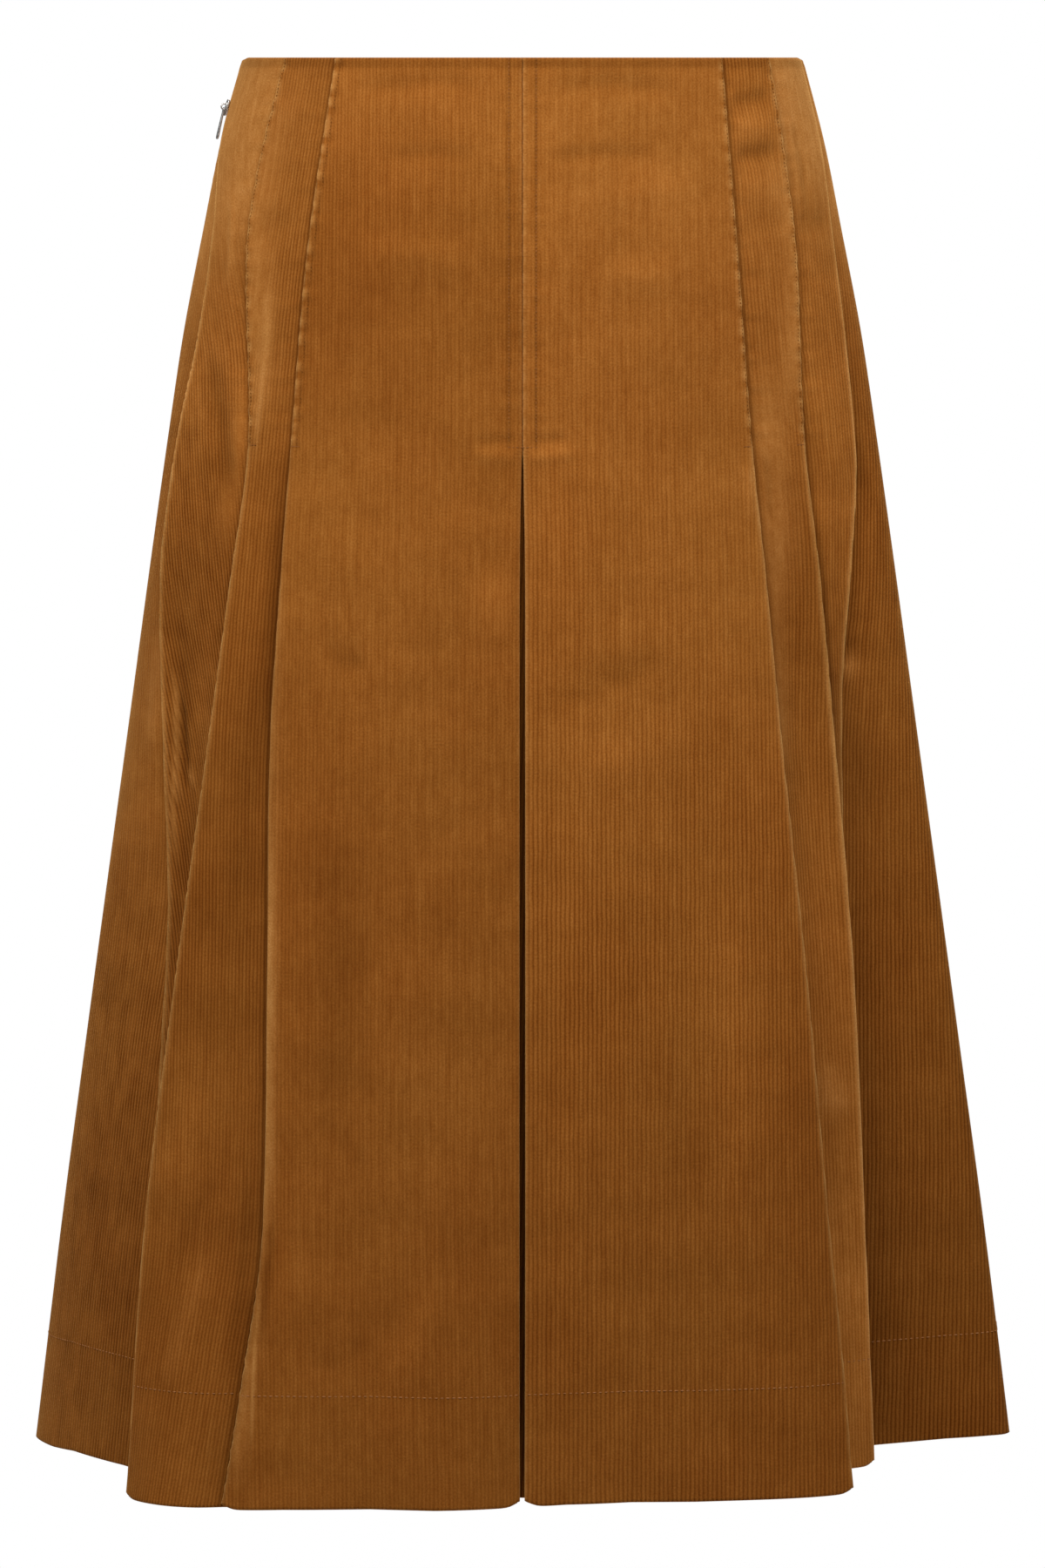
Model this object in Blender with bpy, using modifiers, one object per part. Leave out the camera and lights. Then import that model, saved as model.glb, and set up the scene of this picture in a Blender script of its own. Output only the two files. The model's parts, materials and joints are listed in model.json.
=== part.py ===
"""Knee-length A-line skirt of fine-wale corduroy, hollow, as it hangs on a wearer.

The cloth is a thin wall lofted through level sections. A section is worked out, on each
half, from the centre front to the side: front panel, first pleat, side front panel, second
pleat, side panel, side seam, and then round the back. Every pleat is three layers deep:
the panel's edge folds under and is seamed, further in, to the next panel, which comes out
again beneath the fold. The pleats are stitched flat down to STITCHED and stand open below.

Sizes are in millimetres and the meshes in metres. The origin is the centre of the waist
opening at its top edge, +Z is up and the pleated face looks along -Y. Within a half, a
point is (out, depth): its distance from the centre line and its distance to the front.
"""
import math
from collections import namedtuple

import bpy
import bmesh
from mathutils import Matrix, Vector

# ---- driving sizes ---------------------------------------------------------------------
MM = 0.001              # metres in a millimetre
LENGTH = 660.0          # from the waist edge down to the hem
WALL = 1.4              # thickness of the corduroy
SEAM_GAP = 0.35         # between two pieces at their seam
FOLD_GAP = 0.9          # between the layers of a pleat at its fold
STITCHED = 180.0        # the pleats are stitched flat from the waist down to here
FOLD_RADIUS = (WALL + FOLD_GAP) / 2     # of a fold's middle line
FOLD_REACH = FOLD_RADIUS + WALL / 2     # from a panel's last straight bit to its folded edge
SEAM_LAP = 6.0          # what of the back lies under each side panel's edge
LEFT, RIGHT = -1, 1     # the viewer's left is -X

# How far below the waist each level section lies
LEVELS = (0, 25, 55, 90, 125, 155, STITCHED, 205, 240, 290, 350, 415, 480, 545, 605, LENGTH)

# ---- the centre pleat, alike on both halves --------------------------------------------
# drop: below the waist; depth: of the fold; half_gap: from the centre line to the fold;
# width: of the cloth folded under; gape: how far its seam stands behind the closed pleat;
# back: how far the underlay's middle stands behind the closed pleat
Centre = namedtuple("Centre", "drop depth half_gap width gape back")
CENTRE = (
    Centre(0, 97.5, 0.15, 32, 0, 0),
    Centre(90, 110, 0.15, 36, 0, 0),
    Centre(STITCHED, 118, 0.2, 40, 0, 0),
    Centre(230, 124, 1.0, 42, 2, 2),
    Centre(320, 134, 1.1, 46, 4, 5),
    Centre(440, 148.5, 1.1, 50, 7, 8),
    Centre(560, 162.5, 1.0, 54, 9, 11),
    Centre(660, 174, 0.7, 58, 11, 13),
)

# ---- the stitched-down pleats ----------------------------------------------------------
# out, depth: place of the folded edge; bow: how far the panel that ends there swells over
# its chord; width: of the cloth folded under; gape: how far its seam stands behind the
# closed pleat; inward, back: how far the next panel stands off under the fold
Pleat = namedtuple("Pleat", "drop out depth bow width gape inward back")
FIRST_PLEAT = {
    LEFT: (
        Pleat(0, 87.7, 73, 5.7, 18, 0, 0, 0),
        Pleat(90, 100.8, 83.5, 6.5, 19, 0, 0, 0),
        Pleat(STITCHED, 108.5, 91, 7, 20, 0, 0, 0),
        Pleat(240, 113, 103, 6.5, 23, 3, 0, 3),
        Pleat(320, 117.8, 118, 6, 28, 6, 0, 5),
        Pleat(420, 118.7, 138, 5.5, 33, 8, 0, 4),
        Pleat(540, 120.6, 162, 6, 38, 10, 0, 4),
        Pleat(600, 129.3, 174, 7, 41, 11, 0, 4),
        Pleat(660, 139, 186, 8, 44, 12, 0, 4),
    ),
    RIGHT: (
        Pleat(0, 93.6, 69, 5.7, 18, 0, 0, 0),
        Pleat(90, 100.8, 83.5, 6.5, 19, 0, 0, 0),
        Pleat(STITCHED, 107.6, 91, 7, 20, 0, 0, 0),
        Pleat(240, 114, 97.5, 7, 23, 3, 0, 1),
        Pleat(320, 121.8, 106, 7.2, 29, 7, 0, 5),
        Pleat(420, 132.6, 117, 8, 36, 13, 1, 18),
        Pleat(540, 143.6, 130, 9, 43, 20, 2, 38),
        Pleat(600, 149.8, 137, 9, 46, 23, 3, 45),
        Pleat(660, 154.6, 143, 9, 50, 26, 3, 52),
    ),
}
SECOND_PLEAT = {
    LEFT: (
        Pleat(0, 111.9, 52, 1.3, 18, 0, 0, 0),
        Pleat(50, 124.3, 52.5, 1.2, 18, 0, 0, 0),
        Pleat(90, 129.9, 59, 1, 18, 0, 0, 0),
        Pleat(STITCHED, 128.8, 77, 0.8, 19, 0, 0, 0),
        Pleat(240, 136.7, 87, 1, 22, 3, 1, 6),
        Pleat(320, 147.7, 98, 1.2, 29, 9, 3, 15),
        Pleat(420, 161.6, 113, 2, 36, 19, 6, 29),
        Pleat(540, 176.6, 132, 4, 43, 30, 12, 38),
        Pleat(660, 184.7, 150, 8.5, 50, 38, 19, 42),
    ),
    RIGHT: (
        Pleat(0, 116.3, 48, 1.2, 18, 0, 0, 0),
        Pleat(50, 124.3, 52.5, 1.2, 18, 0, 0, 0),
        Pleat(90, 128.9, 60, 1, 18, 0, 0, 0),
        Pleat(STITCHED, 132.7, 73, 0.8, 19, 0, 0, 0),
        Pleat(240, 139.3, 77, -2.5, 22, 3, 0, 2),
        Pleat(320, 146.5, 78, -5, 25, 6, 2, 5),
        Pleat(420, 155.6, 77, -2, 28, 9, 6, 13),
        Pleat(540, 162.1, 74, 0, 32, 12, 10, 22),
        Pleat(660, 167.7, 70, 1, 36, 14, 15, 28),
    ),
}

# ---- the side seams --------------------------------------------------------------------
# out, depth: place of the side panel's edge; bow: as above; lip: how far that edge stands
# off the back panel beneath it, as at a pocket's mouth
Side = namedtuple("Side", "drop out depth bow lip")
SIDE_SEAM = {
    LEFT: (
        Side(0, 132.3, 3, 3.8, 0),
        Side(40, 142.7, 9, 3, 0),
        Side(80, 145.7, 27, 1.5, 1),
        Side(130, 152.8, 37, 1.5, 3),
        Side(180, 163.4, 30, 2, 4),
        Side(240, 171.2, 34, 0, 2),
        Side(320, 170.1, 46, -4, 3),
        Side(400, 167.4, 57, -2, 2),
        Side(480, 171.3, 70, -0.5, 0),
        Side(560, 174.2, 84, 0, 0),
        Side(660, 176.2, 97, 0, 0),
    ),
    RIGHT: (
        Side(0, 131.2, 14, 2.5, 0),
        Side(40, 140.5, 20, 2, 0),
        Side(80, 145.7, 30, 1.5, 0),
        Side(130, 151.8, 40, 1.5, 2),
        Side(190, 157, 46, 1.5, 4),
        Side(240, 154.3, 58, 0, 3),
        Side(300, 150.1, 62, 0, 1),
        Side(400, 152.5, 56, 0, 0),
        Side(540, 161.1, 44, 0, 0),
        Side(660, 168.2, 35, 0, 0),
    ),
}

# ---- the whole skirt's girth -----------------------------------------------------------
# half_width: at the sides; back_depth: from the side to the centre back; turn: length over
# which the cloth turns round the side, as a share of the side's visible front part
Girth = namedtuple("Girth", "drop half_width back_depth turn")
GIRTH = (
    Girth(0, 132.5, 97.5, 0.34),
    Girth(40, 143, 104, 0.34),
    Girth(80, 151.1, 113, 0.34),
    Girth(130, 160.9, 123, 0.33),
    Girth(180, 168.6, 130, 0.32),
    Girth(240, 177.3, 136, 0.28),
    Girth(320, 188.5, 145, 0.24),
    Girth(400, 199.8, 154.5, 0.22),
    Girth(480, 211, 164.5, 0.2),
    Girth(560, 222.2, 175, 0.18),
    Girth(660, 234.9, 188, 0.17),
)

# Soft flares of the back: angle from the right side, half breadth in degrees, and how far
# each stands out at the hem
Flare = namedtuple("Flare", "angle breadth height")
FLARES = (
    Flare(27, 15, 13),
    Flare(58, 13, 10),
    Flare(88, 16, 12),
    Flare(121, 14, 9),
    Flare(151, 15, 14),
)
FLARES_BEGIN = 200.0    # the back is smooth above this drop
TURN_START = 0.33       # how long the back leaves its seam straight, as a share of the turn
# Where the cloth turns back at the side, as a share of the seam's distance to the front; the
# flank is the flatter for it, and its turn stands a little further in
FORWARD = {LEFT: 0.0, RIGHT: 0.5}
FORWARD_IN = 0.05

# ---- the zip in the left side seam -----------------------------------------------------
ZIP_LENGTH = 180.0
TAPE_WIDTH = 18.0
TAPE_THICK = 0.9
SLIDER_DROP = 24.0      # the slider's bail below the waist edge
SEAM_GAUGE = 2.0        # the seam's slope at the slider is read this far up and down
PLATE_SIZE = (4.4, 8.0, 0.9)
PLATE_ROUNDING = 0.25
BAIL_RADIUS = 1.4       # of the half ring that the pull's eye slides along
BAIL_WIRE = 0.35        # radius
BAIL_LEG = 0.75         # the half ring's centre above the plate
PULL_LENGTH = 15.8      # from the hinge axis to the tip
PULL_THICK = 0.8
PULL_WIDTH = 3.8        # near the tip
PULL_NECK = 1.9         # just below the eye
PULL_SHOULDER = 0.6     # from the eye's band down to the neck
EYE_RADIUS = 0.7
EYE_BAND = 0.5          # metal round the eye
PULL_REST = math.radians(2.5)   # the pull leans on the cloth by this much

# ---- how finely the sections are read --------------------------------------------------
FINE = 48               # points of a panel's line before it is thinned
FRONT_STEPS = 9
SIDE_FRONT_STEPS = 5
SIDE_STEPS = 6
TURN_STEPS = 7
BACK_STEPS = 34         # even, so that a point lies at the centre back
UNDER_STEPS = 3         # of a folded-under layer
TAPE_STEPS = 5


# ---- reading the tables ----------------------------------------------------------------
def read(rows, drop):
    """All columns of a table at one drop, on a smooth curve through its rows."""
    for low, high in zip(rows, rows[1:]):
        if drop <= high.drop:
            break
    i = rows.index(low)
    before = rows[max(i - 1, 0)]
    after = rows[min(i + 2, len(rows) - 1)]
    span = high.drop - low.drop
    t = (drop - low.drop) / span
    values = []
    for a, b, c, d in zip(before, low, high, after):
        slope_low = (c - a) / (high.drop - before.drop) * span
        slope_high = (d - b) / (after.drop - low.drop) * span
        values.append((2 * t ** 3 - 3 * t ** 2 + 1) * b + (t ** 3 - 2 * t ** 2 + t) * slope_low
                      + (3 * t ** 2 - 2 * t ** 3) * c + (t ** 3 - t ** 2) * slope_high)
    return type(low)(*values)


def smooth_step(value):
    """0 below 0, 1 above 1, and an even rise between."""
    t = min(max(value, 0.0), 1.0)
    return t * t * (3 - 2 * t)


# ---- lines in the plane of a section ---------------------------------------------------
def bowed(start, edge, bow, power, reach=0.0):
    """A line that swells outwards by bow at its middle and ends short of edge by reach."""
    chord = edge - start
    chord -= chord.normalized() * reach
    normal = Vector((-chord.y, chord.x)).normalized()
    line = []
    for i in range(FINE + 1):
        s = i / FINE
        line.append(start + chord * s + normal * bow * (1 - abs(2 * s - 1) ** power))
    return line


def beside(line, distance, inset):
    """The point at a distance back from the line's end, moved inwards by inset."""
    left = distance
    for a, b in zip(reversed(line[:-1]), reversed(line[1:])):
        step = (b - a).length
        if left <= step:
            break
        left -= step
    along = (b - a).normalized()
    normal = Vector((-along.y, along.x))
    return b - along * left - normal * inset


def thinned(line, steps):
    """The line read again at equal distances."""
    total = sum((b - a).length for a, b in zip(line, line[1:]))
    return [beside(line, total * (1 - i / steps), 0) for i in range(steps)] + [line[-1]]


def hairpin(line):
    """The turn at the end of a line, from its last point to the layer folded under it."""
    along = (line[-1] - line[-2]).normalized()
    normal = Vector((-along.y, along.x))
    middle = line[-1] - normal * FOLD_RADIUS
    turn = []
    for degrees in (60, 120):
        angle = math.radians(degrees)
        turn.append(middle + (normal * math.cos(angle) + along * math.sin(angle)) * FOLD_RADIUS)
    return turn


def folded_under(line, pleat):
    """The layer folded under a line's end, from the fold to its seam."""
    layer = []
    for i in range(UNDER_STEPS + 1):
        u = i / UNDER_STEPS
        layer.append(beside(line, pleat.width * u, WALL + FOLD_GAP + pleat.gape * u))
    return layer


def coming_out(line, pleat, inward, past):
    """The next piece's hidden layer, from the seam out to a little past the fold."""
    layer = []
    for i in range(UNDER_STEPS, -1, -1):
        u = i / UNDER_STEPS
        between = SEAM_GAP * u + FOLD_GAP * (1 - u)
        inset = 2 * WALL + FOLD_GAP + between + pleat.gape * u
        distance = pleat.width * u - past * (1 - u)
        layer.append(beside(line, distance, inset) - Vector((inward, pleat.back)) * (1 - u))
    return layer


def mirrored(line):
    """A line turned end for end with the same outer side, for work from its start."""
    return [Vector((-p.x, p.y)) for p in reversed(line)]


# ---- the sections of one half ----------------------------------------------------------
Half = namedtuple("Half", "underlay front side_front side back_start")


def half_section(hand, drop):
    """The lines of every piece of one half at one drop, each from its inner to outer end."""
    centre = read(CENTRE, drop)
    first = read(FIRST_PLEAT[hand], drop)
    second = read(SECOND_PLEAT[hand], drop)
    seam = read(SIDE_SEAM[hand], drop)
    squareness = 2 + 2 * smooth_step(drop / LENGTH)

    start = Vector((centre.half_gap + FOLD_REACH, centre.depth))
    panel = bowed(start, Vector((first.out, first.depth)), first.bow, squareness, FOLD_REACH)
    turned = mirrored(panel)
    front = mirrored(hairpin(turned) + folded_under(turned, centre))
    front += thinned(panel, FRONT_STEPS) + hairpin(panel) + folded_under(panel, first)
    underlay = mirrored(coming_out(turned, centre, 0.0, 0.0))

    hidden = coming_out(panel, first, first.inward, FOLD_REACH + 1)
    visible = bowed(hidden[-1], Vector((second.out, second.depth)), second.bow, 2, FOLD_REACH)
    whole = hidden[:-1] + visible
    side_front = hidden[:-1] + thinned(visible, SIDE_FRONT_STEPS)
    side_front += hairpin(whole) + folded_under(whole, second)

    hidden = coming_out(whole, second, second.inward, FOLD_REACH + 1)
    visible = bowed(hidden[-1], Vector((seam.out, seam.depth)), seam.bow, 2)
    whole = hidden[:-1] + visible
    side = hidden[:-1] + thinned(visible, SIDE_STEPS)

    girth = read(GIRTH, drop)
    back_start = [beside(whole, SEAM_LAP, WALL + SEAM_GAP),
                  beside(whole, SEAM_LAP / 2, WALL + FOLD_GAP + seam.lip / 2),
                  beside(whole, 0, WALL + FOLD_GAP + seam.lip)]
    corner = back_start[-1]
    forward = FORWARD[hand] * seam.depth
    side_point = Vector((girth.half_width - FORWARD_IN * forward, forward))
    chord = side_point - corner
    heading = ((whole[-1] - whole[-2]).normalized() + chord.normalized()).normalized()
    handle_in = corner + heading * chord.length * TURN_START
    handle_out = side_point + Vector((0, chord.length * girth.turn))
    for i in range(1, TURN_STEPS + 1):
        t = i / TURN_STEPS
        back_start.append((1 - t) ** 3 * corner + 3 * (1 - t) ** 2 * t * handle_in
                          + 3 * (1 - t) * t ** 2 * handle_out + t ** 3 * side_point)
    return Half(underlay, front, side_front, side, back_start)


def back_arc(drop):
    """The back's line in x and y, from just past the right side to just before the left."""
    girth = read(GIRTH, drop)
    share = smooth_step((drop - FLARES_BEGIN) / (LENGTH - FLARES_BEGIN))
    arc = []
    for i in range(1, BACK_STEPS):
        degrees = 180 * i / BACK_STEPS
        angle = math.radians(degrees)
        swell = 0.0
        for flare in FLARES:
            off = abs(degrees - flare.angle) / flare.breadth
            swell += flare.height * share * (math.cos(math.pi * off) + 1) / 2 if off < 1 else 0
        arc.append(Vector((math.cos(angle) * (girth.half_width + swell),
                           math.sin(angle) * (girth.back_depth + swell))))
    return arc


# ---- from sections to solids -----------------------------------------------------------
def placed(line, hand):
    """A half's line in x and y, in millimetres."""
    return [Vector((hand * p.x, -p.y)) for p in line]


def back_lines(drop, left, right):
    """The two back panels' lines in x and y, going round from the right side seam.

    They meet at the centre back, half a seam's gap to either side of it.
    """
    arc = back_arc(drop)
    middle = len(arc) // 2
    half_gap = Vector((SEAM_GAP / 2, 0))
    right_line = placed(right.back_start, RIGHT) + arc[:middle] + [arc[middle] + half_gap]
    left_line = ([arc[middle] - half_gap] + arc[middle + 1:]
                 + list(reversed(placed(left.back_start, LEFT))))
    return left_line, right_line


def finish_of(name, colour, roughness, metallic):
    """One of the model's materials."""
    material = bpy.data.materials.get(name) or bpy.data.materials.new(name)
    material.use_nodes = True
    shader = material.node_tree.nodes["Principled BSDF"]
    shader.inputs["Base Color"].default_value = (*colour, 1)
    shader.inputs["Roughness"].default_value = roughness
    shader.inputs["Metallic"].default_value = metallic
    return material


def wall_between(name, sections, drops, thickness, material, collection):
    """A wall lofted through sections, each a line of x, y points at its drop."""
    mesh = bmesh.new()
    rows = []
    for line, drop in zip(sections, drops):
        rows.append([mesh.verts.new((p.x * MM, p.y * MM, -drop * MM)) for p in line])
    for upper, lower in zip(rows, rows[1:]):
        for i in range(len(upper) - 1):
            mesh.faces.new((upper[i], lower[i], lower[i + 1], upper[i + 1]))
    data = bpy.data.meshes.new(name)
    mesh.to_mesh(data)
    mesh.free()
    data.shade_smooth()
    data.materials.append(material)
    piece = bpy.data.objects.new(name, data)
    collection.objects.link(piece)
    shell = piece.modifiers.new("wall", "SOLIDIFY")
    shell.thickness = thickness * MM
    shell.offset = 0
    return piece


def cloth_pieces(collection):
    """Every panel of the skirt."""
    cords = finish_of("corduroy", (0.33, 0.125, 0.026), 0.85, 0.0)
    halves = {hand: [half_section(hand, drop) for drop in LEVELS] for hand in (LEFT, RIGHT)}
    for hand, side_name in ((LEFT, "left"), (RIGHT, "right")):
        for part in ("front", "side_front", "side"):
            lines = [placed(getattr(half, part), hand) for half in halves[hand]]
            wall_between(f"{part}_{side_name}", lines, LEVELS, WALL, cords, collection)

    underlay = []
    backs = {"back_left": [], "back_right": []}
    for row, drop in enumerate(LEVELS):
        left, right = halves[LEFT][row], halves[RIGHT][row]
        line = list(reversed(placed(left.underlay, LEFT))) + placed(right.underlay, RIGHT)
        underlay.append(line)
        for name, line in zip(backs, back_lines(drop, left, right)):
            backs[name].append(line)
    wall_between("centre_underlay", underlay, LEVELS, WALL, cords, collection)
    for name, lines in backs.items():
        wall_between(name, lines, LEVELS, WALL, cords, collection)


# ---- the zip ---------------------------------------------------------------------------
def seam_frame(drop):
    """Place and axes on the left side seam: across the seam, up along it, and off it."""
    def edge(at):
        line = half_section(LEFT, at).side
        along = (line[-1] - line[-2]).normalized()
        return Vector((-line[-1].x, -line[-1].y, -at)), Vector((-along.x, -along.y, 0))
    place, across = edge(drop)
    above, _ = edge(drop - SEAM_GAUGE)
    below, _ = edge(drop + SEAM_GAUGE)
    up = (above - below).normalized()
    off = up.cross(across).normalized()
    if off.x > 0:
        off.negate()
    across = up.cross(off).normalized()
    return place, across, up, off


def to_world(place, across, up, off):
    """The matrix from millimetres in a seam's frame to metres."""
    frame = Matrix((across, up, off)).transposed().to_4x4()
    return Matrix.Translation(place * MM) @ frame


def zip_tape(collection):
    """The closed tape, flat behind the left back panel's part of the seam."""
    drops = [drop for drop in LEVELS if drop <= ZIP_LENGTH]
    outset = -(WALL / 2 + FOLD_GAP + TAPE_THICK / 2)
    lines = []
    for drop in drops:
        left, _ = back_lines(drop, half_section(LEFT, drop), half_section(RIGHT, drop))
        lines.append([beside(left, TAPE_WIDTH * i / TAPE_STEPS, outset)
                      for i in range(TAPE_STEPS + 1)])
    colour = finish_of("zip tape", (0.16, 0.07, 0.025), 0.8, 0.0)
    wall_between("zip_tape", lines, drops, TAPE_THICK, colour, collection)


def as_mesh(curve_object, name, material, collection):
    """A curve made a closed mesh object, in the curve's place."""
    bpy.context.view_layer.update()
    evaluated = curve_object.evaluated_get(bpy.context.evaluated_depsgraph_get())
    data = bpy.data.meshes.new_from_object(evaluated)
    mesh = bmesh.new()
    mesh.from_mesh(data)
    bmesh.ops.remove_doubles(mesh, verts=mesh.verts, dist=1e-6)
    mesh.to_mesh(data)
    mesh.free()
    data.materials.clear()
    data.materials.append(material)
    solid = bpy.data.objects.new(name, data)
    solid.matrix_world = curve_object.matrix_world
    collection.objects.link(solid)
    bpy.data.objects.remove(curve_object)
    return solid


def bail_curve(collection):
    """The slider's bail: two short legs and a half ring, over the hinge axis."""
    sunk = PLATE_SIZE[2] / 2
    path = [(0, BAIL_RADIUS, -BAIL_LEG - sunk), (0, BAIL_RADIUS, -BAIL_LEG / 2)]
    steps = 10
    for i in range(steps + 1):
        angle = math.pi * i / steps
        path.append((0, BAIL_RADIUS * math.cos(angle), BAIL_RADIUS * math.sin(angle)))
    path += [(0, -BAIL_RADIUS, -BAIL_LEG / 2), (0, -BAIL_RADIUS, -BAIL_LEG - sunk)]
    curve = bpy.data.curves.new("bail", "CURVE")
    curve.dimensions = "3D"
    curve.bevel_depth = BAIL_WIRE * MM
    curve.bevel_resolution = 2
    curve.use_fill_caps = True
    spline = curve.splines.new("POLY")
    spline.points.add(len(path) - 1)
    for point, place in zip(spline.points, path):
        point.co = (*(Vector(place) * MM), 1)
    bail = bpy.data.objects.new("bail", curve)
    collection.objects.link(bail)
    return bail


def pull_curve(collection):
    """The pull tab's outline with its eye, flat in the plane through the hinge axis."""
    curve = bpy.data.curves.new("zip_pull", "CURVE")
    curve.dimensions = "2D"
    curve.fill_mode = "BOTH"
    curve.extrude = PULL_THICK / 2 * MM
    head = EYE_RADIUS + EYE_BAND
    tip = PULL_WIDTH / 2
    outline = []
    for i in range(9):
        angle = math.radians(200 - 220 * i / 8)
        outline.append((head * math.cos(angle), -BAIL_RADIUS + head * math.sin(angle)))
    outline.append((PULL_NECK / 2, -BAIL_RADIUS - head - PULL_SHOULDER))
    for i in range(9):
        angle = math.radians(-180 * i / 8)
        outline.append((tip * math.cos(angle), -PULL_LENGTH + tip + tip * math.sin(angle)))
    outline.append((-PULL_NECK / 2, -BAIL_RADIUS - head - PULL_SHOULDER))
    eye = []
    for i in range(12):
        angle = 2 * math.pi * i / 12
        eye.append((EYE_RADIUS * math.cos(angle), -BAIL_RADIUS + EYE_RADIUS * math.sin(angle)))
    for points in (outline, eye):
        spline = curve.splines.new("POLY")
        spline.points.add(len(points) - 1)
        spline.use_cyclic_u = True
        for point, (x, y) in zip(spline.points, points):
            point.co = (x * MM, y * MM, 0, 1)
    pull = bpy.data.objects.new("pull outline", curve)
    collection.objects.link(pull)
    return pull


def zip_slider_and_pull(collection, cutters):
    """The slider with its bail, and the pull hanging from it on a hinge empty."""
    metal = finish_of("zip metal", (0.55, 0.54, 0.52), 0.3, 1.0)
    place, across, up, off = seam_frame(SLIDER_DROP)
    plate_middle = WALL / 2 + SEAM_GAP + PLATE_SIZE[2] / 2
    hinge_height = WALL / 2 + SEAM_GAP + PLATE_SIZE[2] + BAIL_LEG

    bpy.ops.mesh.primitive_cube_add(size=1)
    slider = bpy.context.object
    slider.name = slider.data.name = "zip_slider"
    slider.data.transform(Matrix.Diagonal((*(Vector(PLATE_SIZE) * MM), 1)))
    for holder in list(slider.users_collection):
        holder.objects.unlink(slider)
    collection.objects.link(slider)
    slider.data.materials.append(metal)
    slider.matrix_world = to_world(place + off * plate_middle, across, up, off)
    edges = slider.modifiers.new("rounded edges", "BEVEL")
    edges.width = PLATE_ROUNDING * MM
    edges.segments = 2

    hinge_place = place + off * hinge_height
    bail = bail_curve(collection)
    bail.matrix_world = to_world(hinge_place, across, up, off)
    bail = as_mesh(bail, "bail", metal, cutters)
    bail.hide_render = True
    bail.display_type = "WIRE"
    union = slider.modifiers.new("bail", "BOOLEAN")
    union.operation = "UNION"
    union.object = bail

    hinge = bpy.data.objects.new("zip_hinge", None)
    hinge.matrix_world = to_world(hinge_place, across, up, off)
    collection.objects.link(hinge)
    outline = pull_curve(collection)
    pull = as_mesh(outline, "zip_pull", metal, collection)
    pull.data.name = "zip_pull"
    pull.parent = hinge
    pull.rotation_euler = (PULL_REST, 0, 0)


def main():
    """Clears the scene and models the skirt."""
    for thing in list(bpy.data.objects):
        bpy.data.objects.remove(thing)
    skirt = bpy.data.collections.new("pleated skirt")
    cutters = bpy.data.collections.new("joined shapes")
    for collection in (skirt, cutters):
        bpy.context.scene.collection.children.link(collection)
    cloth_pieces(skirt)
    zip_tape(skirt)
    zip_slider_and_pull(skirt, cutters)


main()
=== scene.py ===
"""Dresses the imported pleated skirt: corduroy shells with real wales, sewing, zip and studio.

Every cloth piece is a closed shell worked out from the same level sections as its solid. Its
outer face is cut into columns that follow the wales, three to a wale, so the ribs are real
and run off at the slanted folds as they do on cut cloth. Creases, puckers beside the sewing
and the thicker turned-up hem are displacements of that shell along the cloth's own normal.

Sizes in the tables are millimetres; meshes are in metres. The origin is the centre of the
waist opening at its top edge, +Z is up and the pleated face looks along -Y.
"""
from __future__ import annotations

import json
import logging
import math
from dataclasses import dataclass, field
from enum import Enum
from typing import Callable, NamedTuple, Sequence, TypeVar

import bmesh
import bpy
import numpy as np
from mathutils import Matrix, Vector

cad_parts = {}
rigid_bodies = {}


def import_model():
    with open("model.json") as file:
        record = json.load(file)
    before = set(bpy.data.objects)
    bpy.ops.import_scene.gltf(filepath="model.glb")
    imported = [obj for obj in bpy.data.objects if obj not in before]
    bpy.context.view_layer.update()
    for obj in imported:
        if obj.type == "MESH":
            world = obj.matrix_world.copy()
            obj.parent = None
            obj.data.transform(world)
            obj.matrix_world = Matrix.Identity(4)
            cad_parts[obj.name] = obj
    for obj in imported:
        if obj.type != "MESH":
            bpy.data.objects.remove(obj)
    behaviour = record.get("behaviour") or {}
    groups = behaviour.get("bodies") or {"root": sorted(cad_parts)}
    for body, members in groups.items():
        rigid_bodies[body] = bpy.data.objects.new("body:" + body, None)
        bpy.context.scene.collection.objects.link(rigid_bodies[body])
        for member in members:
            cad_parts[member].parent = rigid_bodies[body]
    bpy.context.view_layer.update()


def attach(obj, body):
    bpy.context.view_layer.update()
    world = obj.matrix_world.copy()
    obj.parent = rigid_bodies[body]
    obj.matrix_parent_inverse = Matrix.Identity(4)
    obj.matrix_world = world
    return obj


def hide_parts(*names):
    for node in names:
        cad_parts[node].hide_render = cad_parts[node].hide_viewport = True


LOG = logging.getLogger("skirt")
MM = 0.001
CLOTH_BODY = "skirt"
PULL_BODY = "zip_pull"


# ---- The cut: sizes and tables of the level sections, in millimetres ----
class Hand(Enum):
    """The viewer's left or right half of the skirt, with the sign of its X."""

    LEFT = -1
    RIGHT = 1


class Edge(Enum):
    """The end of a piece's line that something is measured from, going round from the left."""

    START = "start"
    END = "end"


@dataclass(frozen=True)
class Cloth:
    """The corduroy and how it is folded and sewn, in millimetres."""

    length: float = 660.0
    wall: float = 1.4
    seam_gap: float = 0.35
    fold_gap: float = 0.9
    stitched: float = 180.0
    seam_lap: float = 6.0
    wale: float = 1.95
    wale_depth: float = 0.4
    hem: float = 51.0
    turned_up: float = 0.9
    turn_in: float = 3.0

    @property
    def fold_radius(self) -> float:
        """Radius of a fold's middle line."""
        return (self.wall + self.fold_gap) / 2

    @property
    def fold_reach(self) -> float:
        """From a panel's last straight bit to its folded edge."""
        return self.fold_radius + self.wall / 2


CLOTH = Cloth()
FOLD_QUARTER = math.pi / 2 * CLOTH.fold_radius


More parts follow.
